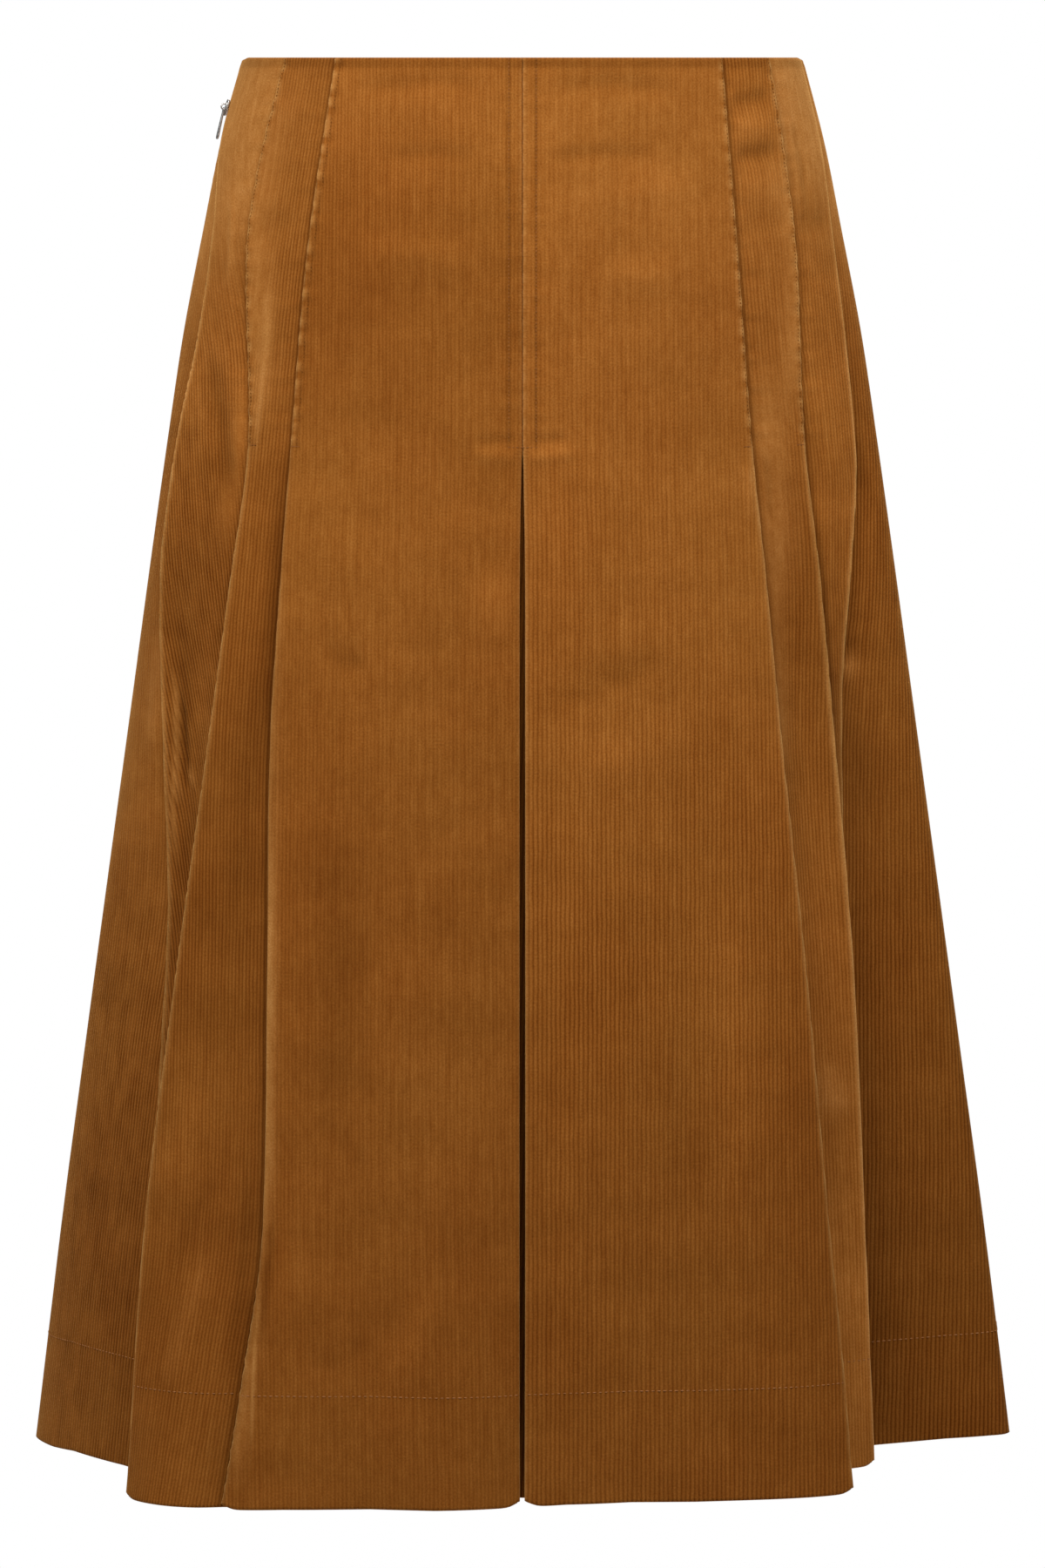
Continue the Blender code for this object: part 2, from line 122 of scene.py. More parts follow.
class CentreRow(NamedTuple):
    """The centre pleat at one drop below the waist; gape and back open it behind."""

    drop: float
    depth: float
    half_gap: float
    width: float
    gape: float
    back: float


class PleatRow(NamedTuple):
    """A stitched-down pleat at one drop: its fold, the panel's swell and its hidden layers."""

    drop: float
    out: float
    depth: float
    bow: float
    width: float
    gape: float
    inward: float
    back: float


class SeamRow(NamedTuple):
    """A side seam at one drop: the side panel's edge, its swell and its lip off the back."""

    drop: float
    out: float
    depth: float
    bow: float
    lip: float


class GirthRow(NamedTuple):
    """The whole skirt's half width, its depth to the back and how it turns at the side."""

    drop: float
    half_width: float
    back_depth: float
    turn: float


class Flare(NamedTuple):
    """A soft flare of the back: degrees from the right side, half breadth, height at the hem."""

    angle: float
    breadth: float
    height: float


class SkewRow(NamedTuple):
    """How far a piece's wales have run along the cloth, from its reference edge, at a drop."""

    drop: float
    shift: float


class NapRow(NamedTuple):
    """A piece's painted shading at a drop: how much lighter or darker it is painted, its painted
    golden sheen and how clear its ribs are.
    """

    drop: float
    tone: float
    painted_sheen: float
    ribs: float


TableRow = TypeVar("TableRow", bound=NamedTuple)


def table(kind: type[TableRow], *values: Sequence[float]) -> tuple[TableRow, ...]:
    """A table of named rows, from the values of each."""
    return tuple(kind(*row) for row in values)


CENTRE = table(
    CentreRow, (0, 97.5, 0.15, 32, 0, 0), (90, 110, 0.15, 36, 0, 0), (180, 118, 0.2, 40, 0, 0),
    (230, 124, 1.0, 42, 2, 2), (320, 134, 1.1, 46, 4, 5), (440, 148.5, 1.1, 50, 7, 8),
    (560, 162.5, 1.0, 54, 9, 11), (660, 174, 0.7, 58, 11, 13))
FIRST_PLEAT = {
    Hand.LEFT: table(
        PleatRow, (0, 87.7, 73, 5.7, 18, 0, 0, 0), (90, 100.8, 83.5, 6.5, 19, 0, 0, 0),
        (180, 108.5, 91, 7, 20, 0, 0, 0), (240, 113, 103, 6.5, 23, 3, 0, 3),
        (320, 117.8, 118, 6, 28, 6, 0, 5), (420, 118.7, 138, 5.5, 33, 8, 0, 4),
        (540, 120.6, 162, 6, 38, 10, 0, 4), (600, 129.3, 174, 7, 41, 11, 0, 4),
        (660, 139, 186, 8, 44, 12, 0, 4)),
    Hand.RIGHT: table(
        PleatRow, (0, 93.6, 69, 5.7, 18, 0, 0, 0), (90, 100.8, 83.5, 6.5, 19, 0, 0, 0),
        (180, 107.6, 91, 7, 20, 0, 0, 0), (240, 114, 97.5, 7, 23, 3, 0, 1),
        (320, 121.8, 106, 7.2, 29, 7, 0, 5), (420, 132.6, 117, 8, 36, 13, 1, 18),
        (540, 143.6, 130, 9, 43, 20, 2, 38), (600, 149.8, 137, 9, 46, 23, 3, 45),
        (660, 154.6, 143, 9, 50, 26, 3, 52)),
}
SECOND_PLEAT = {
    Hand.LEFT: table(
        PleatRow, (0, 111.9, 52, 1.3, 18, 0, 0, 0), (50, 124.3, 52.5, 1.2, 18, 0, 0, 0),
        (90, 129.9, 59, 1, 18, 0, 0, 0), (180, 128.8, 77, 0.8, 19, 0, 0, 0),
        (240, 136.7, 87, 1, 22, 3, 1, 6), (320, 147.7, 98, 1.2, 29, 9, 3, 15),
        (420, 161.6, 113, 2, 36, 19, 6, 29), (540, 176.6, 132, 4, 43, 30, 12, 38),
        (660, 184.7, 150, 8.5, 50, 38, 19, 42)),
    Hand.RIGHT: table(
        PleatRow, (0, 116.3, 48, 1.2, 18, 0, 0, 0), (50, 124.3, 52.5, 1.2, 18, 0, 0, 0),
        (90, 128.9, 60, 1, 18, 0, 0, 0), (180, 132.7, 73, 0.8, 19, 0, 0, 0),
        (240, 139.3, 77, -2.5, 22, 3, 0, 2), (320, 146.5, 78, -5, 25, 6, 2, 5),
        (420, 155.6, 77, -2, 28, 9, 6, 13), (540, 162.1, 74, 0, 32, 12, 10, 22),
        (660, 167.7, 70, 1, 36, 14, 15, 28)),
}
SIDE_SEAM = {
    Hand.LEFT: table(
        SeamRow, (0, 132.3, 3, 3.8, 0), (40, 142.7, 9, 3, 0), (80, 145.7, 27, 1.5, 1),
        (130, 152.8, 37, 1.5, 3), (180, 163.4, 30, 2, 4), (240, 171.2, 34, 0, 2),
        (320, 170.1, 46, -4, 3), (400, 167.4, 57, -2, 2), (480, 171.3, 70, -0.5, 0),
        (560, 174.2, 84, 0, 0), (660, 176.2, 97, 0, 0)),
    Hand.RIGHT: table(
        SeamRow, (0, 131.2, 14, 2.5, 0), (40, 140.5, 20, 2, 0), (80, 145.7, 30, 1.5, 0),
        (130, 151.8, 40, 1.5, 2), (190, 157, 46, 1.5, 4), (240, 154.3, 58, 0, 3),
        (300, 150.1, 62, 0, 1), (400, 152.5, 56, 0, 0), (540, 161.1, 44, 0, 0),
        (660, 168.2, 35, 0, 0)),
}
GIRTH = table(
    GirthRow, (0, 132.5, 97.5, 0.34), (40, 143, 104, 0.34), (80, 151.1, 113, 0.34),
    (130, 160.9, 123, 0.33), (180, 168.6, 130, 0.32), (240, 177.3, 136, 0.28),
    (320, 188.5, 145, 0.24), (400, 199.8, 154.5, 0.22), (480, 211, 164.5, 0.2),
    (560, 222.2, 175, 0.18), (660, 234.9, 188, 0.17))
FLARES = table(
    Flare, (27, 15, 13), (58, 13, 10), (88, 16, 12), (121, 14, 9), (151, 15, 14))
FLARES_BEGIN = 200.0
TURN_START = 0.33
FORWARD = {Hand.LEFT: 0.0, Hand.RIGHT: 0.5}
FORWARD_IN = 0.05

# How finely a section is read
FINE = 96
UNDER_STEPS = 10
HAIRPIN_STEPS = 10
TURN_STEPS = 26
BACK_STEPS = 180
FACING_FADE = 0.3
COLUMNS_PER_WALE = 3


def read_row(rows: Sequence[TableRow], drop: float) -> TableRow:
    """Reads all columns of a table at one drop, on a smooth curve through its rows.

    Args:
        rows: The table, its first column the drop.
        drop: Millimetres below the waist edge.

    Returns:
        A row of the same kind.
    """
    for i, (low, high) in enumerate(zip(rows, rows[1:])):
        if drop <= high.drop:
            break
    before = rows[max(i - 1, 0)]
    after = rows[min(i + 2, len(rows) - 1)]
    span = high.drop - low.drop
    t = (drop - low.drop) / span
    values = []
    for a, b, c, d in zip(before, low, high, after):
        slope_low = (c - a) / (high.drop - before.drop) * span
        slope_high = (d - b) / (after.drop - low.drop) * span
        values.append((2 * t ** 3 - 3 * t ** 2 + 1) * b + (t ** 3 - 2 * t ** 2 + t) * slope_low
                      + (3 * t ** 2 - 2 * t ** 3) * c + (t ** 3 - t ** 2) * slope_high)
    return type(low)(*values)


def smooth_step(value: np.ndarray | float) -> np.ndarray | float:
    """0 below 0, 1 above 1, and an even rise between."""
    t = np.clip(value, 0.0, 1.0)
    return t * t * (3 - 2 * t)


# ---- Lines in the plane of a section ----
class Line:
    """A polyline in the plane of a section, read by its length.

    Within a half of the skirt a point is (out, depth): its distance from the centre line and
    its distance to the front.
    """

    def __init__(self, points: np.ndarray) -> None:
        self.points = np.asarray(points, float)
        steps = np.linalg.norm(np.diff(self.points, axis=0), axis=1)
        self.along = np.concatenate(([0.0], np.cumsum(steps)))

    def heading(self) -> np.ndarray:
        """The direction of the line's last step."""
        step = self.points[-1] - self.points[-2]
        return step / np.linalg.norm(step)

    def beside(self, distance: np.ndarray | float, inset: np.ndarray | float) -> np.ndarray:
        """Finds points back from the line's end.

        Args:
            distance: How far back along the line, or past its end if negative.
            inset: How far inwards from the line.

        Returns:
            One point for each distance.
        """
        position = self.along[-1] - np.asarray(distance, float)
        i = np.clip(np.searchsorted(self.along, position) - 1, 0, len(self.points) - 2)
        step = self.points[i + 1] - self.points[i]
        heading = step / np.linalg.norm(step, axis=-1, keepdims=True)
        normal = np.stack((-heading[..., 1], heading[..., 0]), -1)
        run = (position - self.along[i])[..., None]
        return self.points[i] + heading * run - normal * np.asarray(inset, float)[..., None]


def bowed(start: np.ndarray, edge: np.ndarray, bow: float, power: float,
          reach: float = 0.0) -> np.ndarray:
    """A line that swells outwards by bow at its middle and ends short of edge by reach."""
    chord = edge - start
    chord = chord * (1 - reach / np.linalg.norm(chord))
    normal = np.array((-chord[1], chord[0])) / np.linalg.norm(chord)
    s = np.linspace(0, 1, FINE + 1)[:, None]
    return start + chord * s + normal * bow * (1 - np.abs(2 * s - 1) ** power)


def hairpin(line: np.ndarray) -> np.ndarray:
    """The turn from a line's last point to the layer folded under it."""
    along = Line(line).heading()
    normal = np.array((-along[1], along[0]))
    middle = line[-1] - normal * CLOTH.fold_radius
    angle = np.linspace(0, math.pi, HAIRPIN_STEPS + 1)[1:-1, None]
    return middle + (normal * np.cos(angle) + along * np.sin(angle)) * CLOTH.fold_radius


def folded_under(line: np.ndarray, width: float, gape: float) -> np.ndarray:
    """The layer folded under a line's end, from the fold to its seam and the turn-in there."""
    u = np.linspace(0, 1, UNDER_STEPS + 1)
    layer = Line(line).beside(width * u, CLOTH.wall + CLOTH.fold_gap + gape * u)
    return np.vstack((layer, layer[-1] + Line(layer).heading() * CLOTH.turn_in))


def coming_out(line: np.ndarray, width: float, gape: float, inward: float, back: float,
               past: float) -> np.ndarray:
    """The next piece's hidden layer, from its turn-in and seam to a little past the fold."""
    u = np.linspace(1, 0, UNDER_STEPS + 1)
    between = CLOTH.seam_gap * u + CLOTH.fold_gap * (1 - u)
    inset = 2 * CLOTH.wall + CLOTH.fold_gap + between + gape * u
    away = np.array((inward, back)) * (1 - u)[:, None]
    layer = Line(line).beside(width * u - past * (1 - u), inset) - away
    above = Line(line).beside(width * u[1::-1], CLOTH.wall + CLOTH.fold_gap + gape * u[1::-1])
    return np.vstack((layer[:1] + Line(above).heading() * CLOTH.turn_in, layer))


def mirrored(line: np.ndarray) -> np.ndarray:
    """A line turned end for end with the same outer side, for work from its start."""
    return line[::-1] * (-1, 1)


@dataclass(frozen=True)
class Run:
    """One piece's line in a section, and the first and last point of what shows of it."""

    points: np.ndarray
    start: int
    end: int

    def placed(self, hand: Hand) -> "Run":
        """The line in x and y, going round the skirt from left to right across the front."""
        points = self.points * (hand.value, -1)
        if hand is Hand.RIGHT:
            return Run(points, self.start, self.end)
        last = len(points) - 1
        return Run(points[::-1], last - self.end, last - self.start)


class Half(NamedTuple):
    """The lines of one half's pieces in a section, from its inner to its outer side."""

    underlay: Run
    front: Run
    side_front: Run
    side: Run
    back_start: np.ndarray


def half_section(hand: Hand, drop: float) -> Half:
    """Works out the lines of every piece of one half at one drop."""
    centre = read_row(CENTRE, drop)
    first = read_row(FIRST_PLEAT[hand], drop)
    second = read_row(SECOND_PLEAT[hand], drop)
    seam = read_row(SIDE_SEAM[hand], drop)
    girth = read_row(GIRTH, drop)
    squareness = 2 + 2 * smooth_step(drop / CLOTH.length)
    reach = CLOTH.fold_reach

    start = np.array((centre.half_gap + reach, centre.depth))
    panel = bowed(start, np.array((first.out, first.depth)), first.bow, squareness, reach)
    turned = mirrored(panel)
    inner = mirrored(np.vstack((hairpin(turned),
                                folded_under(turned, centre.width, centre.gape))))
    front = np.vstack((inner, panel, hairpin(panel),
                       folded_under(panel, first.width, first.gape)))
    front_run = Run(front, len(inner), len(inner) + len(panel) - 1)
    under = mirrored(coming_out(turned, centre.width, centre.gape, 0.0, centre.back, 0.0))

    hidden = coming_out(panel, first.width, first.gape, first.inward, first.back, reach + 1)
    shown = bowed(hidden[-1], np.array((second.out, second.depth)), second.bow, 2, reach)
    whole = np.vstack((hidden[:-1], shown))
    side_front = np.vstack((whole, hairpin(whole),
                            folded_under(whole, second.width, second.gape)))
    side_front_run = Run(side_front, len(hidden) - 1, len(whole) - 1)

    hidden = coming_out(whole, second.width, second.gape, second.inward, second.back, reach + 1)
    shown = bowed(hidden[-1], np.array((seam.out, seam.depth)), seam.bow, 2)
    side = np.vstack((hidden[:-1], shown))
    side_run = Run(side, len(hidden) - 1, len(side) - 1)

    edge = Line(side)
    lap = np.linspace(1, 0, UNDER_STEPS + 1)
    inset = CLOTH.wall + CLOTH.seam_gap * lap + (CLOTH.fold_gap + seam.lip) * (1 - lap)
    lapped = edge.beside(CLOTH.seam_lap * lap, inset)
    forward = FORWARD[hand] * seam.depth
    side_point = np.array((girth.half_width - FORWARD_IN * forward, forward))
    chord = side_point - lapped[-1]
    length = np.linalg.norm(chord)
    heading = edge.heading() + chord / length
    handle_in = lapped[-1] + heading / np.linalg.norm(heading) * length * TURN_START
    handle_out = side_point + (0, length * girth.turn)
    t = np.linspace(0, 1, TURN_STEPS + 1)[1:, None]
    turn = ((1 - t) ** 3 * lapped[-1] + 3 * (1 - t) ** 2 * t * handle_in
            + 3 * (1 - t) * t ** 2 * handle_out + t ** 3 * side_point)
    return Half(Run(under, 0, len(under) - 1), front_run, side_front_run, side_run,
                np.vstack((lapped, turn)))


def back_arc(drop: float) -> np.ndarray:
    """The back's line in x and y, from just past the right side to just before the left."""
    girth = read_row(GIRTH, drop)
    share = smooth_step((drop - FLARES_BEGIN) / (CLOTH.length - FLARES_BEGIN))
    degrees = np.linspace(0, 180, BACK_STEPS + 1)[1:-1]
    swell = np.zeros_like(degrees)
    for flare in FLARES:
        off = np.clip(np.abs(degrees - flare.angle) / flare.breadth, 0, 1)
        swell += flare.height * share * (np.cos(math.pi * off) + 1) / 2
    angle = np.radians(degrees)
    return np.stack((np.cos(angle) * (girth.half_width + swell),
                     np.sin(angle) * (girth.back_depth + swell)), -1)


def back_run(hand: Hand, drop: float) -> Run:
    """The line of one back panel, between its side seam and the centre back."""
    arc = back_arc(drop)
    middle = len(arc) // 2
    seam = arc[middle] + (hand.value * (CLOTH.seam_gap / 2 - SEWN_CLOSING), 0)
    start = half_section(hand, drop).back_start * (hand.value, -1)
    if hand is Hand.RIGHT:
        points = np.vstack((start, arc[:middle], seam))
    else:
        points = np.vstack((seam, arc[middle + 1:], start[::-1]))
    return Run(points, 0, len(points) - 1)


def underlay_run(drop: float) -> Run:
    """The line of the strip behind the centre pleat."""
    left = half_section(Hand.LEFT, drop).underlay.placed(Hand.LEFT).points
    right = half_section(Hand.RIGHT, drop).underlay.placed(Hand.RIGHT).points
    points = np.vstack((left[:-1], (left[-1:] + right[:1]) / 2, right[1:]))
    return Run(points, 0, len(points) - 1)


# ---- Creases and sewing lines ----
class Columns(NamedTuple):
    """Places along one row: position, normal, lengths from what shows and from the ends."""

    x: np.ndarray
    y: np.ndarray
    nx: np.ndarray
    ny: np.ndarray
    from_start: np.ndarray
    from_end: np.ndarray
    past_first: np.ndarray
    past_last: np.ndarray


class Seen(Enum):
    """The side of the skirt that a crease is placed from, looking at it square on."""

    FACE = "face"
    REAR = "rear"

    def facing(self, columns: Columns) -> np.ndarray:
        """How far a row's places face the viewer."""
        return columns.ny if self is Seen.REAR else -columns.ny


@dataclass(frozen=True)
class Crease:
    """A soft mark on the cloth along a path of (across, drop) points, in millimetres.

    Attributes:
        path: Its points, as seen square on.
        breadth: How far to either side it fades out.
        height: How far it stands out, less than 0 for a trough.
        seen: The side of the skirt that it is placed from.
        smooth: How much of the ribs' relief is brushed away along it.
        painted_sheen: How strong a painted golden highlight is along it.
        light: How much lighter the pile is painted along it, as painted light, or darker below 0,
            as painted shade.
    """

    path: tuple[tuple[float, float], ...]
    breadth: float
    height: float = 0.0
    seen: Seen = Seen.FACE
    smooth: float = 0.0
    painted_sheen: float = 0.0
    light: float = 0.0

    def share(self, columns: Columns, drop: float) -> np.ndarray:
        """How strongly the mark shows along a row, from 0 to 1."""
        across = columns.x
        lengths = [math.dist(a, b) for a, b in zip(self.path, self.path[1:])]
        total = sum(lengths)
        nearest = np.full(across.shape, np.inf)
        share = np.zeros(across.shape)
        done = 0.0
        for (ax, az), (bx, bz), length in zip(self.path, self.path[1:], lengths):
            t = ((across - ax) * (bx - ax) + (drop - az) * (bz - az)) / length ** 2
            t = np.clip(t, 0, 1)
            away = np.hypot(across - ax - t * (bx - ax), drop - az - t * (bz - az))
            closer = away < nearest
            nearest = np.where(closer, away, nearest)
            share = np.where(closer, (done + t * length) / total, share)
            done += length
        fade = smooth_step(share / 0.3) * smooth_step((1 - share) / 0.3)
        turned = smooth_step(self.seen.facing(columns) / FACING_FADE)
        return np.exp(-(nearest / self.breadth) ** 2) * fade * turned


@dataclass(frozen=True)
class SewnLine:
    """A line of stitches beside a folded or seamed edge, which dimples the cloth."""

    edge: Edge
    inset: float
    top: float
    bottom: float
    sink: float
    pucker: float
    spread: float

    def sewn_share(self, drop: float) -> float:
        """1 along the stitches, fading to 0 just past their ends."""
        return float(smooth_step((drop - self.top + 6) / 6)
                     * smooth_step((self.bottom + 6 - drop) / 6))


@dataclass(frozen=True)
class Ripple:
    """The uneven wave that sewing leaves along a seam, the sum of three even ones."""

    lengths: tuple[float, float, float] = (6.8, 11.0, 19.0)
    shares: tuple[float, float, float] = (0.4, 0.4, 0.2)

    def wave(self, drop: float, phase: float) -> float:
        """The wave's height, from -1 to 1, at a drop."""
        return sum(share * math.sin(2 * math.pi * drop / length + phase * (i + 1))
                   for i, (length, share) in enumerate(zip(self.lengths, self.shares)))


RIPPLE = Ripple()
PLAIN_NAP = (NapRow(0, 1, 0, 1), NapRow(CLOTH.length, 1, 0, 1))
LIFT_PAINTED_LIGHT = 0.14        # painted light and shade: how much lighter a millimetre's lift paints the pile, darker in troughs
SEWN_CLOSING = 0.165    # each piece's swell over a seam's gap, which closes it to the eye
WAIST_DIP = 1.0         # of the waist edge at the sides
HEM_RISE = 2.2          # of the hem at a folded edge
EASED_OVER = 230.0      # the lowest part of the skirt, over which its hem's dip builds up
PAINTED_UNDER_SHADE = 0.38           # painted shade: how much darker the pile is painted where it runs under another piece
LUMP_MEAN = 0.5         # how pale the puckered folded edges are painted for wear and highlight, on average
LUMP_SWING = 1.5        # and how much that swings from lump to lump


# ---- Materials ----
Colour = tuple[float, float, float]


def new_material(name: str) -> tuple[bpy.types.Material, bpy.types.Node]:
    """Makes a material, and gives it with its Principled shader."""
    material = bpy.data.materials.new(name)
    material.use_nodes = True
    return material, material.node_tree.nodes["Principled BSDF"]


def feed(node: bpy.types.Node, values: dict[str | int, object]) -> None:
    """Feeds a node's inputs.

    Args:
        node: The node.
        values: By an input's name or number, the socket to link to it or its plain value.
    """
    for key, value in values.items():
        if isinstance(value, bpy.types.NodeSocket):
            node.id_data.links.new(value, node.inputs[key])
        else:
            if node.inputs[key].type == "RGBA":
                value = (*value, 1)
            node.inputs[key].default_value = value


def add_node(tree: bpy.types.NodeTree, kind: str, values: dict[str | int, object] | None = None,
             **settings: object) -> bpy.types.Node:
    """Adds a node to the right of a tree's last one, with its settings, and feeds it."""
    node = tree.nodes.new(kind)
    node.location = (190 * len(tree.nodes), 0)
    for name, value in settings.items():
        setattr(node, name, value)
    feed(node, values or {})
    return node


def add_socket(tree: bpy.types.NodeTree, name: str, kind: str, direction: str = "INPUT",
               value: object = None) -> None:
    """Adds a named input or output to a node group, with its default value."""
    socket = tree.interface.new_socket(name, in_out=direction, socket_type=kind)
    if value is not None:
        socket.default_value = value


def blended(tree: bpy.types.NodeTree, share: object, first: object, second: object,
            **settings: object) -> bpy.types.NodeSocket:
    """Blends two colours, plain ones or sockets, by a share of the second."""
    return add_node(tree, "ShaderNodeMix", {"Factor": share, "A": first, "B": second},
                    data_type="RGBA", **settings).outputs["Result"]


def bumped(tree: bpy.types.NodeTree, height: bpy.types.NodeSocket, distance: float,
           strength: float = 1.0) -> bpy.types.NodeSocket:
    """The normal of a surface that a pattern raises by up to a distance, in metres."""
    values = {"Height": height, "Distance": distance, "Strength": strength}
    return add_node(tree, "ShaderNodeBump", values).outputs["Normal"]


@dataclass(frozen=True)
class MathChain:
    """Adds Math nodes to a tree, one after the other."""

    tree: bpy.types.NodeTree

    def __call__(self, operation: str, *values: object,
                 clamp: bool = False) -> bpy.types.NodeSocket:
        """Adds one Math node whose inputs are sockets or numbers, and gives its output."""
        return add_node(self.tree, "ShaderNodeMath", dict(enumerate(values)),
                        operation=operation, use_clamp=clamp).outputs[0]


def wale_group() -> bpy.types.ShaderNodeTree:
    """The cords' pattern on the grain map: grooves, pile and slow unevenness of the dye."""
    tree = bpy.data.node_groups.new("corduroy wales", "ShaderNodeTree")
    for name, value in (("Wale", CLOTH.wale * MM), ("Pile Scale", 1250.0),
                        ("Nap Scale", 26.0), ("Patch Scale", 11.0)):
        add_socket(tree, name, "NodeSocketFloat", value=value)
    given = add_node(tree, "NodeGroupInput").outputs
    grain = add_node(tree, "ShaderNodeUVMap", uv_map="grain").outputs["UV"]
    split = add_node(tree, "ShaderNodeSeparateXYZ", {0: grain})
    chain = MathChain(tree)

    def noise(across: float, along: float, scale: bpy.types.NodeSocket,
              detail: float) -> bpy.types.NodeSocket:
        """Noise on the grain map, stretched across and along the wales."""
        stretch = add_node(tree, "ShaderNodeMapping", {"Scale": (across, along, 1),
                                                       "Vector": grain})
        return add_node(tree, "ShaderNodeTexNoise",
                        {"Detail": detail, "Scale": scale,
                         "Vector": stretch.outputs["Vector"]}).outputs["Fac"]

    def per_wale(share: float) -> bpy.types.NodeSocket:
        """A scale of some spots to a wale."""
        return chain("DIVIDE", share, given["Wale"])

    wander = noise(1.0, 0.5, per_wale(0.25), 1.0)
    patch = noise(1.0, 0.6, given["Patch Scale"], 2.0)
    wales = chain("DIVIDE", split.outputs["X"], given["Wale"])
    wales = chain("ADD", wales, chain("MULTIPLY_ADD", wander, 0.5, -0.25))
    side = chain("ABSOLUTE", chain("SUBTRACT", chain("FRACT", wales), 0.5))
    groove = chain("POWER", chain("MULTIPLY", side, 2.0), 1.7, clamp=True)
    brushed = chain("MULTIPLY_ADD", patch, 2.4, -0.55, clamp=True)
    pattern = {"Groove": chain("MULTIPLY", groove, chain("MULTIPLY_ADD", brushed, 0.4, 0.6)),
               "Pile": noise(1.0, 0.9, given["Pile Scale"], 2.0),
               "Streak": noise(1.0, 0.06, per_wale(0.8), 2.0),
               "Mottle": noise(1.0, 0.55, per_wale(0.55), 3.0),
               "Nap": noise(0.8, 1.7, given["Nap Scale"], 4.0),
               "Patch": patch}
    for output in pattern:
        add_socket(tree, output, "NodeSocketFloat", "OUTPUT")
    add_node(tree, "NodeGroupOutput", pattern)
    return tree


@dataclass(frozen=True)
class CorduroyFinish:
    """The pile side: light ribs, dark grooves partly painted shade, a soft sheen, and fold edges
    painted paler for wear and highlight.
    """

    rib: Colour = (0.345, 0.124, 0.0205)
    # Groove colour: the pile's own deeper colour, darkened further as painted shade in the grooves
    groove: Colour = (0.145, 0.037, 0.0018)
    red_rib: Colour = (0.325, 0.106, 0.0160)
    # Pale golden colour for wear, also used for painted highlights and sheen
    worn: Colour = (0.62, 0.31, 0.095)
    broad_tint: Colour = (1.0, 1.15, 1.6)
    fine_tint: Colour = (1.0, 1.5, 2.5)
    wear_and_sheen_share: float = 0.8
    roughness: float = 0.9
    sheen: float = 0.42
    sheen_roughness: float = 0.36
    sheen_tint: Colour = (1.0, 0.58, 0.20)
    bump: float = 0.00025

    def make(self, wales: bpy.types.ShaderNodeTree) -> bpy.types.Material:
        """Makes the material on the grain map."""
        material, shader = new_material("corduroy pile")
        tree = material.node_tree
        pattern = add_node(tree, "ShaderNodeGroup", node_tree=wales).outputs
        tone, worn, ribs = (add_node(tree, "ShaderNodeAttribute",
                                     attribute_name=name).outputs["Fac"]
                            for name in ("tone", "worn", "ribs"))
        chain = MathChain(tree)

        def uneven(output: str, spread: float | bpy.types.NodeSocket) -> bpy.types.NodeSocket:
            """One of the pattern's values as a factor that swings about 1."""
            return chain("MULTIPLY_ADD", chain("SUBTRACT", pattern[output], 0.5), spread, 1)

        patch = add_node(tree, "ShaderNodeMapRange",
                         {"From Min": 0.35, "From Max": 0.7, "Value": pattern["Patch"]})
        dyed = blended(tree, patch.outputs["Result"], self.rib, self.red_rib)
        bare = chain("MULTIPLY_ADD", worn, -self.wear_and_sheen_share, 1.0, clamp=True)
        depth = chain("MULTIPLY", chain("MULTIPLY", pattern["Groove"], ribs), bare, clamp=True)
        ribbed = blended(tree, depth, dyed, self.groove)
        paled = blended(tree, chain("MULTIPLY", worn, self.wear_and_sheen_share), ribbed, self.worn)
        # Painted light and shade from the mesh, varied by random patches of the pile
        broad = chain("MULTIPLY", tone, uneven("Nap", 0.4))
        fine = chain("MULTIPLY", uneven("Streak", 0.4), uneven("Pile", 0.6))
        fine = chain("MULTIPLY", fine,
                     uneven("Mottle", chain("MULTIPLY_ADD", ribs, -0.2, 0.42)))
        tint = add_node(tree, "ShaderNodeCombineColor", {
            channel: chain("MULTIPLY", chain("POWER", broad, coarse), chain("POWER", fine, close))
            for channel, coarse, close in zip(("Red", "Green", "Blue"), self.broad_tint,
                                              self.fine_tint)})
        feed(shader, {
            "Base Color": blended(tree, 1.0, paled, tint.outputs["Color"],
                                  blend_type="MULTIPLY"),
            "Normal": bumped(tree, pattern["Pile"], self.bump, 0.9),
            "Roughness": self.roughness, "Specular IOR Level": 0.05,
            "Sheen Weight": self.sheen, "Sheen Roughness": self.sheen_roughness,
            "Sheen Tint": self.sheen_tint})
        return material


@dataclass(frozen=True)
class ReverseFinish:
    """The corduroy's plain woven inner side, duller than the pile."""

    thread: Colour = (0.250, 0.092, 0.019)
    gap: Colour = (0.120, 0.040, 0.007)
    count: float = 2600.0

    def make(self, wales: bpy.types.ShaderNodeTree) -> bpy.types.Material:
        """Makes the material on the grain map."""
        material, shader = new_material("corduroy reverse")
        tree = material.node_tree
        weave = add_node(tree, "ShaderNodeGroup", node_tree=wales)
        feed(weave, {"Pile Scale": self.count})
        threads = weave.outputs["Pile"]
        feed(shader, {"Base Color": blended(tree, threads, self.gap, self.thread),
                      "Normal": bumped(tree, threads, 0.00015), "Roughness": 0.92,
                      "Sheen Weight": 0.12})
        return material


def textured(tree: bpy.types.NodeTree, kind: str, values: dict[str | int, object],
             **settings: object) -> bpy.types.NodeSocket:
    """The value of a texture on object coordinates."""
    place = add_node(tree, "ShaderNodeTexCoord").outputs["Object"]
    return add_node(tree, kind, {**values, "Vector": place}, **settings).outputs["Fac"]


